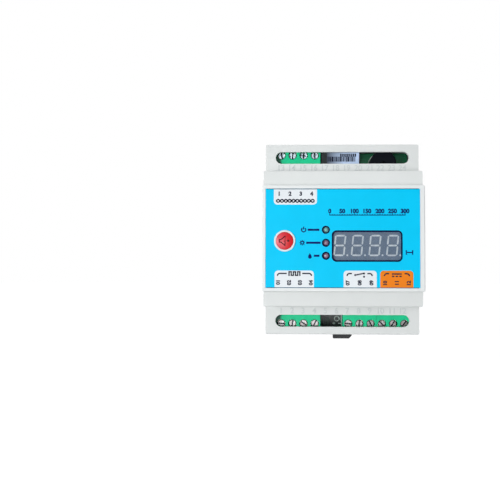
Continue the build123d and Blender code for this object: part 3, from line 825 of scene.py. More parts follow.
def figure_mesh(
    text: str, height: float, middle: Point, thickness: float, turn: float = 0.0, bold: float = 0.0,
) -> bpy.types.Mesh:
    """A plain number of a given height.

    Args:
        text: The digits.
        height: Their height.
        middle: Where the middle of the number goes.
        thickness: How thick the digits are.
        turn: How far the number is turned, in degrees.
        bold: How far the strokes are widened, as a share of the height.

    Returns:
        The mesh of the number.
    """
    letters = bpy.data.curves.new("figure", "FONT")
    letters.body = text
    letters.extrude = HALF_THICK
    letters.offset = bold
    mesh = frozen(held("figure", letters))
    xs = [v.co.x for v in mesh.vertices]
    ys = [v.co.y for v in mesh.vertices]
    scale = height / (max(ys) - min(ys))
    centred = Matrix.Translation((-(min(xs) + max(xs)) / 2, -(min(ys) + max(ys)) / 2, HALF_THICK))
    sized = Matrix.Diagonal((scale, scale, thickness, 1))
    turned = Matrix.Rotation(math.radians(turn), 4, "Z")
    mesh.transform(Matrix.Translation((middle[0], middle[1], 0)) @ turned @ sized @ centred)
    return mesh


def joined(name: str, meshes: Sequence[bpy.types.Mesh]) -> bpy.types.Mesh:
    """Joins meshes into one.

    Args:
        name: The name of the whole.
        meshes: The parts, which are used up.

    Returns:
        The whole.
    """
    whole = bmesh.new()
    for mesh in meshes:
        whole.from_mesh(mesh)
        bpy.data.meshes.remove(mesh)
    made = bpy.data.meshes.new(name)
    whole.to_mesh(made)
    whole.free()
    return made


def settle(name: str, mesh: bpy.types.Mesh, finish: Finish, body: Body) -> bpy.types.Object:
    """Puts a finished mesh in the scene, riding on its body.

    Args:
        name: The piece's name.
        mesh: Its mesh, in the frame.
        finish: Its finish.
        body: The body that it rides on.

    Returns:
        The piece.
    """
    mesh.materials.clear()
    mesh.materials.append(PAINTS[finish])
    mesh.name = name
    piece = held(name, mesh)
    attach(piece, body.value)
    log.info("%s: %d faces on %s", name, len(mesh.polygons), body.value)
    return piece


@dataclass
class Print:
    """Flat shapes in one ink, lying on a surface that faces the front."""

    name: str
    finish: Finish
    ground: float
    body: Body = Body.HOUSING
    thickness: float = 0.02 * MM

    def __post_init__(self) -> None:
        """Starts with no shapes."""
        self.outlines: list[Outline] = []
        self.figures: list[bpy.types.Mesh] = []

    def shape(self, *outlines: Outline) -> None:
        """Adds outlines; one inside another is a hole."""
        self.outlines += outlines

    def line(self, path: Sequence[Point], width: float) -> None:
        """Adds a line of even width."""
        self.figures.append(outline_mesh("line", [stroke(path, width)], self.thickness))

    def figure(self, text: str, height: float, middle: Point, turn: float = 0.0, bold: float = 0.0) -> None:
        """Adds a plain number."""
        self.figures.append(figure_mesh(text, height, middle, self.thickness, turn, bold))

    def lay(self) -> bpy.types.Object:
        """Lays the print on its ground.

        Returns:
            The piece.
        """
        parts = list(self.figures)
        if self.outlines:
            parts.append(outline_mesh(self.name, self.outlines, self.thickness))
        mesh = joined(self.name, parts)
        mesh.transform(Matrix.Translation((0, self.ground, 0)) @ FACING_FRONT)
        return settle(self.name, mesh, self.finish, self.body)


class Spread(Tree):
    """A Geometry Nodes tree that repeats a small shape at the points of a mesh."""

    start = "GeometryNode"

    def __init__(self, name: str, sizes: dict[str, float], finish: Finish) -> None:
        """Starts the tree with its named inputs.

        Args:
            name: The tree's name.
            sizes: The named sizes and their values.
            finish: The finish of what is repeated.
        """
        super().__init__(bpy.data.node_groups.new(name, "GeometryNodeTree"))
        self.name = name
        self.sizes = sizes
        self.finish = finish
        faces = self.tree.interface
        faces.new_socket("Geometry", in_out="INPUT", socket_type="NodeSocketGeometry")
        self.sockets = {
            key: faces.new_socket(key, in_out="INPUT", socket_type="NodeSocketFloat") for key in sizes
        }
        faces.new_socket("Geometry", in_out="OUTPUT", socket_type="NodeSocketGeometry")
        self.entry = self.tree.nodes.new("NodeGroupInput")
        self.exit = self.tree.nodes.new("NodeGroupOutput")

    def close(self, shape: Socket) -> None:
        """Repeats a shape at the points, then realizes and paints it.

        Args:
            shape: The shape.
        """
        points = self.node("MeshToPoints")
        spread = self.node("InstanceOnPoints")
        real = self.node("RealizeInstances")
        paint = self.node("SetMaterial")
        paint.inputs["Material"].default_value = PAINTS[self.finish]
        self.link(self.entry.outputs["Geometry"], points.inputs["Mesh"])
        self.link(points.outputs["Points"], spread.inputs["Points"])
        self.link(shape, spread.inputs["Instance"])
        self.link(spread.outputs["Instances"], real.inputs["Geometry"])
        self.link(real.outputs["Geometry"], paint.inputs["Geometry"])
        self.link(paint.outputs["Geometry"], self.exit.inputs["Geometry"])

    def grow(self, name: str, places: Sequence[Vector], body: Body) -> bpy.types.Object:
        """Runs the tree over places and keeps the result as a plain piece.

        Args:
            name: The piece's name.
            places: Where the shape goes, in the frame.
            body: The body that the piece rides on.

        Returns:
            The piece.
        """
        seeds = bpy.data.meshes.new(name + "_places")
        seeds.from_pydata([tuple(place) for place in places], [], [])
        holder = held(name + "_places", seeds)
        modifier = holder.modifiers.new(self.name, "NODES")
        modifier.node_group = self.tree
        for key, value in self.sizes.items():
            modifier[self.sockets[key].identifier] = value
        return settle(name, frozen(holder), self.finish, body)


def solder_spread(name: str, foot: float, tip: float, height: float, facing: float) -> Spread:
    """A tree for solder joints: low cones.

    Args:
        name: The tree's name.
        foot: The radius of a joint on its board.
        tip: The radius of its top.
        height: Its height.
        facing: 1 where the joints stand to the back, -1 where they stand to the front.

    Returns:
        The tree.
    """
    spread = Spread(name, {"Foot": foot, "Tip": tip, "Height": height}, SOLDER)
    cone = spread.node("MeshCone", fill_type="NGON")
    cone.inputs["Vertices"].default_value = HUB_STEPS
    spread.link(spread.entry.outputs["Foot"], cone.inputs["Radius Bottom"])
    spread.link(spread.entry.outputs["Tip"], cone.inputs["Radius Top"])
    spread.link(spread.entry.outputs["Height"], cone.inputs["Depth"])
    turned = spread.node("Transform")
    spread.link(cone.outputs["Mesh"], turned.inputs["Geometry"])
    turned.inputs["Rotation"].default_value = (math.radians(-90) * facing, 0, 0)
    spread.close(turned.outputs["Geometry"])
    return spread


def bar_spread(name: str, finish: Finish, sizes: Vector) -> Spread:
    """A tree for small plates, such as ticks or pads.

    Args:
        name: The tree's name.
        finish: Their finish.
        sizes: Their width, depth and height.

    Returns:
        The tree.
    """
    spread = Spread(name, {"Width": sizes.x, "Depth": sizes.y, "Height": sizes.z}, finish)
    size = spread.node("ShaderNodeCombineXYZ")
    for key, axis in (("Width", "X"), ("Depth", "Y"), ("Height", "Z")):
        spread.link(spread.entry.outputs[key], size.inputs[axis])
    cube = spread.node("MeshCube")
    spread.link(size.outputs["Vector"], cube.inputs["Size"])
    spread.close(cube.outputs["Mesh"])
    return spread


@dataclass
class Carried:
    """The CAD nodes that show as they are, each with its finish."""

    nodes: dict[str, bpy.types.Object]

    def dress(self) -> None:
        """Gives every node its material."""
        for name, finish in NODE_FINISHES.items():
            node = self.nodes[name]
            node.data.materials.clear()
            node.data.materials.append(PAINTS[finish])
            log.info("%s: %s", name, finish.name)


def way_x(way: int) -> float:
    """Places a way across the controller.

    Args:
        way: The way, from 0 at the left to 11 at the right.

    Returns:
        Its middle on X.
    """
    return Box.of("terminal_screws").middle.x + (way - (WAY_COUNT - 1) / 2) * WAY_PITCH


@dataclass
class HousingNumbers:
    """The way numbers that are raised on the two shelves of the cover."""

    height: float = 2.6 * MM
    place: float = 32.3 * MM
    pitch: float = 4.99 * MM
    rise: float = 0.25 * MM
    bold: float = 0.012

    def build(self) -> None:
        """Raises the numbers on both shelves."""
        raised = Print("shelf_numbers", RAISED, self.shelf_front(), thickness=self.rise)
        for way in range(WAY_COUNT):
            x = way_x(0) + way * self.pitch
            raised.figure(str(WAY_COUNT + 1 + way), self.height, (x, self.place), bold=self.bold)
            raised.figure(str(way + 1), self.height, (x, -self.place), bold=self.bold)
        raised.lay()

    def shelf_front(self) -> float:
        """Finds how far the shelves reach to the front.

        Returns:
            The place of their front on Y.
        """
        cover = bpy.data.objects["front_cover"].data
        outboard = Box.of("sensor_block").middle.z
        return min(vertex.co.y for vertex in cover.vertices if abs(vertex.co.z) > outboard)


@dataclass(frozen=True)
class Tab:
    """A tab at the upper or lower edge of the film, with the numbers of its ways."""

    left: float
    right: float
    end: float
    sign_place: float
    first_way: int
    first_place: float
    way_pitch: float
    ways: int

    @property
    def number_places(self) -> list[tuple[int, float]]:
        """Each way's number and its place on X."""
        return [(self.first_way + i, self.first_place + i * self.way_pitch) for i in range(self.ways)]


@dataclass
class FilmTabs:
    """The white and orange tabs of the film and what is printed on them."""

    sensor: Tab = Tab(-30.0 * MM, -11.4 * MM, 14.5 * MM, 16.1 * MM, 1, -27.7 * MM, 4.67 * MM, 4)
    bus: Tab = Tab(-29.6 * MM, -12.7 * MM, -13.9 * MM, -15.2 * MM, 1, -28.1 * MM, 4.7 * MM, 4)
    relay: Tab = Tab(0.05 * MM, 14.2 * MM, -13.9 * MM, -15.8 * MM, 7, 1.8 * MM, 5.09 * MM, 3)
    power: Tab = Tab(15.7 * MM, 29.85 * MM, -13.9 * MM, -15.8 * MM, 10, 17.75 * MM, 5.05 * MM, 3)
    corner: float = 1.5 * MM
    edge: float = 0.26 * MM
    line: float = 0.56 * MM
    number: float = 1.9 * MM
    number_place: float = 19.2 * MM
    wave_reach: float = 8.25 * MM
    wave_height: float = 0.58 * MM
    wave_length: float = 3.3 * MM
    turned_number: float = 1.75 * MM
    turned_place: float = -19.1 * MM
    bracket_top: float = -15.15 * MM
    bracket_bend: float = 1.05 * MM
    bracket_gap: float = 3.3 * MM
    sign: float = 1.5 * MM
    wave_steps: int = 160
    pulse_parts: int = 5
    pulse_share: float = 0.62
    contact_shares: Span = (1.25, 0.45)
    arm_share: float = 0.8
    dot_share: float = 0.8
    supply_share: float = 1.4
    dashes: int = 3

    def build(self) -> None:
        """Prints the tabs, then their marks in a second layer."""
        film = Box.of("overlay_film")
        white = Print("film_tabs_white", PAPER_WHITE, film.front)
        orange = Print("film_tab_orange", PRINT_ORANGE, film.front)
        round_low = (self.corner, self.corner, 0, 0)
        round_high = (0, 0, self.corner, self.corner)
        top, bottom = film.high.z - self.edge, film.low.z + self.edge
        white.shape(rounded((self.sensor.left, self.sensor.end), (self.sensor.right, top), round_low))
        for tab, ink in ((self.bus, white), (self.relay, white), (self.power, orange)):
            ink.shape(rounded((tab.left, bottom), (tab.right, tab.end), round_high))
        marks = Print("film_tab_marks", PRINT_CHARCOAL, film.front - white.thickness)
        self.upper_marks(marks)
        for tab, sign in ((self.bus, self.pulse), (self.relay, self.contact), (self.power, self.supply)):
            for number, place in tab.number_places:
                marks.figure(f"{number:02d}", self.turned_number, (place, self.turned_place), 90, BOLD)
            left, right = tab.number_places[0][1], tab.number_places[-1][1]
            self.bracket(marks, left - self.line / 2, right + self.line / 2)
            sign(marks, ((left + right) / 2, tab.sign_place))
        for piece in (white, orange, marks):
            piece.lay()

    def upper_marks(self, marks: Print) -> None:
        """The numbers of the sensor's ways, over a sign of two crossing waves.

        Args:
            marks: The print that they join.
        """
        for number, place in self.sensor.number_places:
            marks.figure(str(number), self.number, (place, self.number_place), bold=BOLD)
        middle = (self.sensor.left + self.sensor.right) / 2
        turn = 2 * math.pi / self.wave_length
        half = self.wave_steps / 2
        steps = [self.wave_reach * (step / half - 1) for step in range(self.wave_steps + 1)]
        for side in (1, -1):
            height = self.wave_height * side
            wave = [(middle + x, self.sensor.sign_place + height * math.sin(x * turn)) for x in steps]
            marks.line(wave, self.line)

    def bracket(self, marks: Print, left: float, right: float) -> None:
        """A bracket over a run of ways, open in its middle for a sign.

        Args:
            marks: The print that it joins.
            left: Its left end.
            right: Its right end.
        """
        low = self.bracket_top - self.bracket_bend
        middle = (left + right) / 2
        for end, side in ((left, 1), (right, -1)):
            turn = (end + side * self.bracket_bend, low)
            bend = ring_points(turn, self.bracket_bend, BEND_STEPS, 90 + side * 90, 90)
            marks.line(bend + [(middle - side * self.bracket_gap, self.bracket_top)], self.line)

    def pulse(self, marks: Print, middle: Point) -> None:
        """A square wave, for signals.

        Args:
            marks: The print that it joins.
            middle: Its middle.
        """
        low, step, half = middle[1] - self.sign / 2, self.sign * self.pulse_share, self.pulse_parts / 2
        path = [(middle[0] - half * step, low)]
        for index in range(self.pulse_parts):
            level = low + self.sign * (1 - index % 2)
            start = middle[0] + (index - half) * step
            path += [(start, level), (start + step, level)]
        path.append((middle[0] + half * step, low))
        for start, end in zip(path, path[1:]):
            marks.line(stretched_line(start, end, self.line / 2), self.line)

    def contact(self, marks: Print, middle: Point) -> None:
        """A change-over contact: three dots and an arm.

        Args:
            marks: The print that it joins.
            middle: Its middle.
        """
        reach, rise = (self.sign * share for share in self.contact_shares)
        x, z = middle
        for place in ((x - reach, z), (x + reach, z + rise), (x + reach, z - rise)):
            marks.shape(ring_points(place, self.line * self.dot_share, DOT_STEPS))
        marks.line([(x - reach, z), (x + reach * self.arm_share, z + rise)], self.line)

    def supply(self, marks: Print, middle: Point) -> None:
        """The plain sign of direct current: a line over three dashes.

        Args:
            marks: The print that it joins.
            middle: Its middle.
        """
        x, z = middle
        reach, rise = self.sign * self.supply_share, self.sign / 3
        marks.line([(x - reach, z + rise), (x + reach, z + rise)], self.line)
        half_dash = reach / (self.dashes + 1)
        for index in range(self.dashes):
            place = x + (index - (self.dashes - 1) / 2) * (reach - half_dash)
            marks.line([(place - half_dash, z - rise), (place + half_dash, z - rise)], self.line)


@dataclass
class FilmEdges:
    """Painted shadow lines at the top and the bottom of the film, where it meets the wall of its recess."""

    width: float = 0.26 * MM
    corner: float = 0.5 * MM

    def build(self) -> None:
        """Draws both painted shadow lines as thin lines."""
        film = Box.of("overlay_film")
        edges = Print("film_gap_shadows", FILM_GAP_SHADOW, film.front)
        for z in (film.low.z + self.width / 2, film.high.z - self.width / 2):
            edges.line([(film.low.x + self.corner, z), (film.high.x - self.corner, z)], self.width)
        edges.lay()


@dataclass
class FilmScale:
    """A ruled scale with plain numbers."""

    left: float = -5.9 * MM
    right: float = 26.4 * MM
    base: float = 9.95 * MM
    line: float = 0.36 * MM
    short_tick: float = 0.4 * MM
    long_tick: float = 0.62 * MM
    steps: int = 30
    long_every: int = 5
    number: float = 2.0 * MM
    number_place: float = 11.7 * MM
    number_step: int = 50

    def build(self) -> None:
        """Prints the base line and the numbers, and repeats the ticks over it."""
        ink = Print("film_scale", PRINT_NAVY, Box.of("overlay_film").front)
        overhang = self.line / 2
        ink.line([(self.left - overhang, self.base), (self.right + overhang, self.base)], self.line)
        for index in range(0, self.steps + 1, self.long_every):
            value = index // self.long_every * self.number_step
            ink.figure(str(value), self.number, (self.place(index), self.number_place), bold=BOLD)
        ink.lay()
        for name, height in (("short", self.short_tick), ("long", self.long_tick)):
            size = Vector((self.line, ink.thickness, height))
            spots = [
                Vector((self.place(index), ink.ground - size.y / 2, self.base + height / 2))
                for index in range(self.steps + 1)
                if (index % self.long_every == 0) == (name == "long")
            ]
            ticks = bar_spread("scale_ticks_" + name, PRINT_NAVY, size)
            ticks.grow("film_scale_ticks_" + name, spots, Body.HOUSING)

    def place(self, index: int) -> float:
        """The place of a tick on X."""
        return self.left + (self.right - self.left) * index / self.steps


@dataclass
class LampLegends:
    """A ring round each lamp, with its sign and a bar that leads to it."""

    ring: float = 1.75 * MM
    hole: float = 1.13 * MM
    lead: float = 0.9 * MM
    lead_start: float = 2.8 * MM
    line: float = 0.5 * MM
    sign: float = 1.08 * MM
    reaches: tuple[Span, Span, Span] = (
        (10.65 * MM, 2.8 * MM), (11.25 * MM, 2.3 * MM), (7.95 * MM, 2.75 * MM),
    )
    arc: float = 0.85
    arc_turns: Span = (130, 410)
    bar: Span = (0.1, 1.25)
    teeth: int = 8
    tooth: tuple[Span, ...] = ((-14, 0.75), (-9, 1.12), (9, 1.12), (14, 0.75))
    hub: float = 0.34
    drop: float = 2.3
    drop_round: float = 0.32
    drop_turns: Span = (150, 390)

    def build(self) -> None:
        """Prints the three rings and the three legends."""
        front = Box.of("overlay_film").front
        rings = Print("film_lamp_rings", PRINT_DEEP, front)
        ink = Print("film_lamp_legends", PRINT_NAVY, front)
        signs = (self.power_sign, self.service_sign, self.leak_sign)
        for lamp, (far, near), sign in zip(("led_power", "led_service", "led_leak"), self.reaches, signs):
            x, z = Box.of(lamp).middle.xz
            rings.shape(ring_points((x, z), self.ring), ring_points((x, z), self.hole))
            ink.line([(x - far + self.lead_start, z), (x - near, z)], self.lead)
            sign(ink, (x - far + self.sign, z))
        for piece in (rings, ink):
            piece.lay()

    def power_sign(self, ink: Print, middle: Point) -> None:
        """An open ring with a bar, for power.

        Args:
            ink: The print that it joins.
            middle: Its middle.
        """
        x, z = middle
        ink.line(ring_points((x, z), self.sign * self.arc, ARC_STEPS, *self.arc_turns), self.line)
        ink.line([(x, z + self.sign * share) for share in self.bar], self.line)

    def service_sign(self, ink: Print, middle: Point) -> None:
        """A toothed wheel, for service.

        Args:
            ink: The print that it joins.
            middle: Its middle.
        """
        x, z = middle
        wheel: Outline = []
        for index in range(self.teeth):
            for turn, share in self.tooth:
                angle, reach = math.radians(360 / self.teeth * index + turn), self.sign * share
                wheel.append((x + reach * math.cos(angle), z + reach * math.sin(angle)))
        ink.shape(wheel, ring_points(middle, self.sign * self.hub, HUB_STEPS))

    def leak_sign(self, ink: Print, middle: Point) -> None:
        """A drop with its point up, for a leak.

        Args:
            ink: The print that it joins.
            middle: Its middle.
        """
        x, z = middle
        height = self.sign * self.drop
        radius = height * self.drop_round
        belly = ring_points((x, z - height / 2 + radius), radius, HUB_STEPS, *self.drop_turns)
        ink.shape(belly + [(x, z + height / 2)])


@dataclass
class DisplayFrame:
    """The navy frame round the display window, and a length sign beside it."""

    edge: float = 0.72 * MM
    outer_corner: float = 2.05 * MM
    inner_corner: float = 1.4 * MM
    sign_gap: float = 3.6 * MM
    sign_rise: float = 3.3 * MM
    sign_width: float = 3.2 * MM
    sign_height: float = 2.0 * MM
    line: float = 0.5 * MM

    def build(self) -> None:
        """Prints the frame and the sign."""
        window = Box.of("display_window")
        low, high = (window.low.x, window.low.z), (window.high.x, window.high.z)
        outer_low = (low[0] - self.edge, low[1] - self.edge)
        outer_high = (high[0] + self.edge, high[1] + self.edge)
        front = Box.of("overlay_film").front
        frame = Print("film_display_frame", PRINT_DEEP, front)
        frame.shape(
            rounded(outer_low, outer_high, (self.outer_corner,) * 4),
            rounded(low, high, (self.inner_corner,) * 4),
        )
        ink = Print("film_length_sign", PRINT_NAVY, front)
        x, z = high[0] + self.sign_gap, low[1] + self.sign_rise
        for side in (-1, 1):
            end = x + side * (self.sign_width - self.line) / 2
            ink.line([(end, z - self.sign_height / 2), (end, z + self.sign_height / 2)], self.line)
        inside = self.sign_width / 2 - self.line
        ink.line([(x - inside, z), (x + inside, z)], self.line)
        for piece in (frame, ink):
            piece.lay()


@dataclass
class ButtonMark:
    """The sounder sign printed on the crowned button."""

    radius: float = 3.75 * MM
    crown: float = 0.45 * MM
    lift: float = 0.025 * MM
    thickness: float = 0.004 * MM
    line: float = 0.38 * MM
    back: float = 2.3 * MM
    neck: float = 1.5 * MM
    mouth: float = 0.2 * MM
    small: float = 0.55 * MM
    wide: float = 2.0 * MM
    dot_place: float = 1.55 * MM
    dot: float = 0.45 * MM
    cuts: int = 2

    def build(self) -> None:
        """Prints the sign and bends it over the crown."""
        button = Box.of("mute_button")
        x, z = button.middle.x, button.middle.z
        ball = (self.radius**2 + self.crown**2) / (2 * self.crown)
        outlines = [stroke(stretched_line(*ends, self.line / 2), self.line) for ends in self.sounder(x, z)]
        outlines.append(ring_points((x + self.dot_place, z), self.dot, DOT_STEPS))
        marks = [outline_mesh("mark", [outline], self.thickness) for outline in outlines]
        mesh = joined("button_mark", marks)
        work = bmesh.new()
        work.from_mesh(mesh)
        bmesh.ops.subdivide_edges(work, edges=work.edges, cuts=self.cuts)
        for vertex in work.verts:
            away = math.hypot(vertex.co.x - x, vertex.co.y - z)
            vertex.co.z += self.lift - (ball - math.sqrt(ball**2 - away**2))
        work.to_mesh(mesh)
        work.free()
        mesh.transform(Matrix.Translation((0, button.front, 0)) @ FACING_FRONT)
        settle("button_mark", mesh, PRINT_MAROON, Body.BUTTON)

    def sounder(self, x: float, z: float) -> list[tuple[Point, Point]]:
        """The outline of a loudspeaker seen from its side.

        Args:
            x: The middle of the button on X.
            z: The middle of the button on Z.

        Returns:
            The straight strokes, each with its two ends.
        """
        back, neck, mouth = x - self.back, x - self.neck, x + self.mouth
        corners = [
            (back, z + self.small), (neck, z + self.small), (mouth, z + self.wide),
            (mouth, z - self.wide), (neck, z - self.small), (back, z - self.small), (back, z + self.small),
        ]
        return list(zip(corners, corners[1:]))


@dataclass
class LabelBars:
    """A plain row of bars on the label of the power module."""

    pattern: tuple[int, ...] = (1, 2, 2, 3, 1, 1, 2, 1, 2, 3, 1, 2, 1, 2, 3, 1, 2, 2, 1, 1)
    unit: float = 0.25 * MM
    gap: float = 0.22 * MM
    height: float = 2.3 * MM
    drop: float = 3.15 * MM
    side: float = 0.3 * MM
    depth: float = 0.02 * MM
    block: float = 0.66 * MM
    block_height: float = 1.35 * MM
    block_drop: float = 1.35 * MM
    block_side: float = 1.7 * MM
    block_pitch: float = 0.94 * MM
    blocks: int = 8

    def build(self) -> None:
        """Repeats a bar for each width that the pattern has, and a block in a row over their right end."""
        label = Box.of("module_label")
        y = label.front - self.depth / 2
        z = label.high.z - self.drop
        places: dict[int, list[Vector]] = {}
        x = label.low.x + self.side
        for width in self.pattern:
            bar = width * self.unit
            places.setdefault(width, []).append(Vector((x + bar / 2, y, z)))
            x += bar + self.gap
        for width, spots in places.items():
            self.repeat(f"label_bars_{width}", width * self.unit, self.height, spots)
        z = label.high.z - self.block_drop
        x = label.high.x - self.block_side
        spots = [Vector((x - index * self.block_pitch, y, z)) for index in range(self.blocks)]
        self.repeat("label_blocks", self.block, self.block_height, spots)

    def repeat(self, name: str, width: float, height: float, spots: Sequence[Vector]) -> None:
        """Repeats one small plate at its places.

        Args:
            name: The piece's name.
            width: The plate's width.
            height: The plate's height.
            spots: Where the plates go.
        """
        bars = bar_spread(name, PRINT_BLACK, Vector((width, self.depth, height)))
        bars.grow(name, spots, Body.HOUSING)


@dataclass
class BoardPrint:
    """The white print of the main board, where the slots show it."""

    circle_gap: float = 0.15 * MM
    line: float = 0.3 * MM
    edge_gap: float = 0.3 * MM
    ring_place: Point = (-2.05 * MM, -37.1 * MM)
    ring: float = 1.25 * MM
    sign_place: Point = (-2.1 * MM, -39.3 * MM)
    sign: float = 1.3 * MM
    faint_places: tuple[Point, ...] = ((-7.9 * MM, -38.2 * MM), (-6.2 * MM, -38.2 * MM))
    faint_size: Span = (1.1 * MM, 3.4 * MM)

    def build(self) -> None:
        """Prints the circle of the sounder and the marks between the lower runs."""
        ground = Box.of("main_board").front
        ink = Print("board_legend", PRINT_SILK, ground)
        buzzer = Box.of("buzzer")
        place = (buzzer.middle.x, buzzer.middle.z)
        inner = buzzer.size.x / 2 + self.circle_gap
        ink.shape(*(ring_points(place, radius, WIDE_STEPS) for radius in (inner + self.line, inner)))
        relay = Box.of("relay_block")
        edge = relay.low.x - self.edge_gap
        ink.line([(edge, relay.low.z), (edge, relay.high.z)], self.line)
        ink.shape(*(ring_points(self.ring_place, radius) for radius in (self.ring, self.ring - self.line)))
        x, z = self.sign_place
        half = self.sign / 2
        ink.line([(x - self.sign, z - half), (x - self.sign, z + half)], self.line)
        for start, end in ((x - self.sign - half, x - self.sign + half), (x + half, x + self.sign + half)):
            ink.line([(start, z), (end, z)], self.line)
        ink.lay()
        faint = Print("board_legend_faint", PRINT_FAINT, ground)
        width, height = self.faint_size
        for x, z in self.faint_places:
            for inset in (0, self.line):
                half_x, half_z = width / 2 - inset, height / 2 - inset
                faint.shape(rounded((x - half_x, z - half_z), (x + half_x, z + half_z), SQUARE))
        faint.lay()


@dataclass
class SolderJoints:
    """The solder joints of both boards."""

    foot: float = 1.0 * MM
    tip: float = 0.42 * MM
    height: float = 0.9 * MM
    small_share: float = 0.6
    screw_radius: float = 1.65 * MM
    leg_pitch: float = 1.27 * MM
    header_columns: int = 5
    header_rows: int = 2
    header_pitch: float = 2.54 * MM

    def build(self) -> None:
        """Solders the terminals, the header and the legs of the lamps."""
        main, small = Box.of("main_board"), Box.of("display_board")
        rows = (
            ("terminal", self.terminal_places(), main.high.y, 1, 1),
            ("header", self.header_places(), small.front, self.small_share, -1),
            ("lamp", self.leg_places(), small.high.y, self.small_share, 1),
        )
        for name, places, y, share, facing in rows:
            size = (self.foot * share, self.tip * share, self.height * share)
            joints = solder_spread(name + "_solder", *size, facing)
            spots = [Vector((x, y, z)) for x, z in places]
            joints.grow(name + "_joints", spots, Body.HOUSING)

    def terminal_places(self) -> list[Point]:
        """Finds the middle of each terminal's pin.

        Returns:
            Their places on X and Z.
        """
        places = []
        for block in ("sensor_block", "bus_block", "relay_block", "power_block"):
            box = Box.of(block)
            z = math.copysign(Box.of("terminal_screws").high.z - self.screw_radius, box.middle.z)
            spots = (way_x(way) for way in range(WAY_COUNT))
            places += [(x, z) for x in spots if box.low.x < x < box.high.x]
        return places

    def header_places(self) -> list[Point]:
        """Finds the middle of each pin of the header.

        Returns:
            Their places on X and Z.
        """
        middle = Box.of("header_pins").middle
        return [
            (middle.x + (column - (self.header_columns - 1) / 2) * self.header_pitch,
             middle.z + (row - (self.header_rows - 1) / 2) * self.header_pitch)
            for column in range(self.header_columns)
            for row in range(self.header_rows)
        ]

    def leg_places(self) -> list[Point]:
        """Finds the middle of each leg of the lamps."""
        lamps = [Box.of(name).middle for name in ("led_power", "led_service", "led_leak")]
        return [(lamp.x + side * self.leg_pitch / 2, lamp.z) for lamp in lamps for side in (-1, 1)]


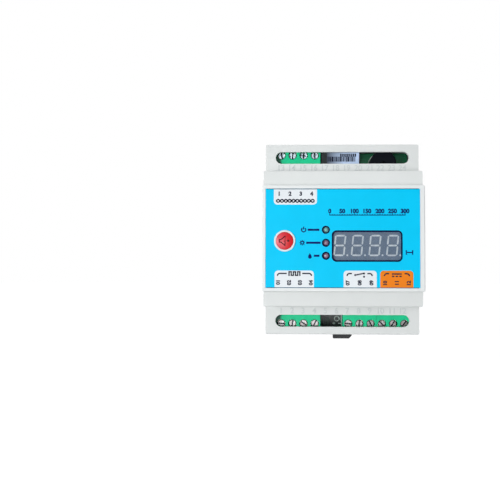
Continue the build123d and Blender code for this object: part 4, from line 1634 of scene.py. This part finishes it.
@dataclass
class Studio:
    """The camera, the lamps, the world and the floor."""

    eye: Triple = (-11.5 * MM, -332.5 * MM, -6.7 * MM)
    yaw: float = 1.47
    pitch: float = 1.95
    roll: float = -0.08
    lens: float = 46.89
    sensor: float = 36
    sight: Span = (0.01, 100)
    shift: Span = (-0.1, -0.0368)
    aim: Triple = (0, -30 * MM, 0)
    floor_drop: float = 300 * MM
    floor_reach: float = 6.0
    floor_pale: Colour = (160, 161, 162)
    floor_shaded: Colour = (152, 153, 154)
    floor_blot: float = 0.5
    floor_glow: float = 0.85
    sky_tint: Channels = (0.96, 0.98, 1, 1)
    sky_left: float = 0.7
    sky_right: float = 0.28
    lights: tuple[tuple[str, Triple, float, float], ...] = (
        ("key", (-0.5, -0.75, -0.005), 0.3, 3.55),
        ("fill", (-0.12, -0.9, -0.09), 0.3, 1.9),
        ("back", (-0.6, 0.7, 0.3), 0.6, 3.2),
        ("top", (0.1, 0.3, 0.9), 0.6, 3.0),
    )

    def build(self) -> None:
        """Sets up the whole studio."""
        scene = bpy.context.scene
        scene.view_settings.view_transform = "Standard"
        self.camera(scene)
        self.world(scene)
        self.lamps()
        self.floor()

    def camera(self, scene: bpy.types.Scene) -> None:
        """Places the camera.

        Args:
            scene: The scene that it serves.
        """
        data = bpy.data.cameras.new("camera")
        data.sensor_width = self.sensor
        data.lens = self.lens
        data.shift_x, data.shift_y = self.shift
        data.clip_start, data.clip_end = self.sight
        data.dof.use_dof = False
        camera = held("camera", data)
        turns = ((self.yaw, "Z"), (self.pitch, "X"), (self.roll, "Y"), (90, "X"))
        pose = Matrix.Translation(self.eye)
        for angle, axis in turns:
            pose = pose @ Matrix.Rotation(math.radians(angle), 4, axis)
        camera.matrix_world = pose
        scene.camera = camera

    def world(self, scene: bpy.types.Scene) -> None:
        """A soft sky, dimmer to the right, which the camera, gloss and glass see as white.

        Args:
            scene: The scene that it lies round.
        """
        world = bpy.data.worlds.new("studio")
        scene.world = world
        world.use_nodes = True
        sky = Tree(world.node_tree)
        soft = sky.tree.nodes["Background"]
        soft.inputs["Color"].default_value = self.sky_tint
        split = sky.node("SeparateXYZ")
        sky.link(sky.node("TexCoord").outputs["Generated"], split.inputs["Vector"])
        across = sky.ranged(split.outputs["X"], self.sky_left, self.sky_right, -1, 1)
        sky.link(across, soft.inputs["Strength"])
        seen = sky.node("Background")
        seen.inputs["Strength"].default_value = 1.0
        seen.inputs["Color"].default_value = (1, 1, 1, 1)
        mix = sky.node("MixShader")
        sky.link(sky.seen_by_eye(), mix.inputs["Fac"])
        sky.link(soft.outputs["Background"], mix.inputs[1])
        sky.link(seen.outputs["Background"], mix.inputs[2])
        sky.link(mix.outputs["Shader"], sky.tree.nodes["World Output"].inputs["Surface"])

    def lamps(self) -> None:
        """A soft key from the left, a weaker fill near the camera, and lamps behind and above."""
        for name, place, size, power in self.lights:
            data = bpy.data.lights.new(name, "AREA")
            data.shape = "SQUARE"
            data.size = size
            data.energy = power
            lamp = held(name, data)
            lamp.location = place
            aim = Vector(self.aim) - Vector(place)
            lamp.rotation_euler = aim.to_track_quat("-Z", "Y").to_euler()

    def floor(self) -> None:
        """A wide pale floor well below the controller."""
        mesh = bpy.data.meshes.new("floor")
        half = self.floor_reach
        corners = ((-half, -half), (half, -half), (half, half), (-half, half))
        mesh.from_pydata([(x, y, -self.floor_drop) for x, y in corners], [], [(0, 1, 2, 3)])
        floor = held("floor", mesh)
        recipe = Recipe("floor_white")
        recipe.set(Roughness=0.9, Specular_IOR_Level=0.1)
        blots = recipe.ranged(recipe.noise(self.floor_blot), 0, 1)
        recipe.wear(recipe.blend(blots, self.floor_pale, self.floor_shaded))
        none, glow = recipe.node("Emission"), recipe.node("Emission")
        none.inputs["Strength"].default_value = 0.0
        glow.inputs["Strength"].default_value = self.floor_glow
        add, mix = recipe.node("AddShader"), recipe.node("MixShader")
        recipe.link(recipe.seen_by_eye(), mix.inputs["Fac"])
        recipe.link(none.outputs[0], mix.inputs[1])
        recipe.link(glow.outputs[0], mix.inputs[2])
        recipe.link(recipe.shader.outputs[0], add.inputs[0])
        recipe.link(mix.outputs[0], add.inputs[1])
        recipe.link(add.outputs[0], recipe.tree.nodes["Material Output"].inputs["Surface"])
        mesh.materials.append(recipe.material)


def main() -> None:
    """Dresses the frame, piece by piece."""
    logging.basicConfig(level=logging.INFO, format="%(name)s: %(message)s")
    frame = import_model()
    Carried(frame["nodes"]).dress()
    parts = (
        HousingNumbers(), FilmTabs(), FilmEdges(), FilmScale(), LampLegends(), DisplayFrame(),
        ButtonMark(), LabelBars(), BoardPrint(), SolderJoints(), Studio(),
    )
    for part in parts:
        part.build()
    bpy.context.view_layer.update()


if __name__ == "__main__":
    main()
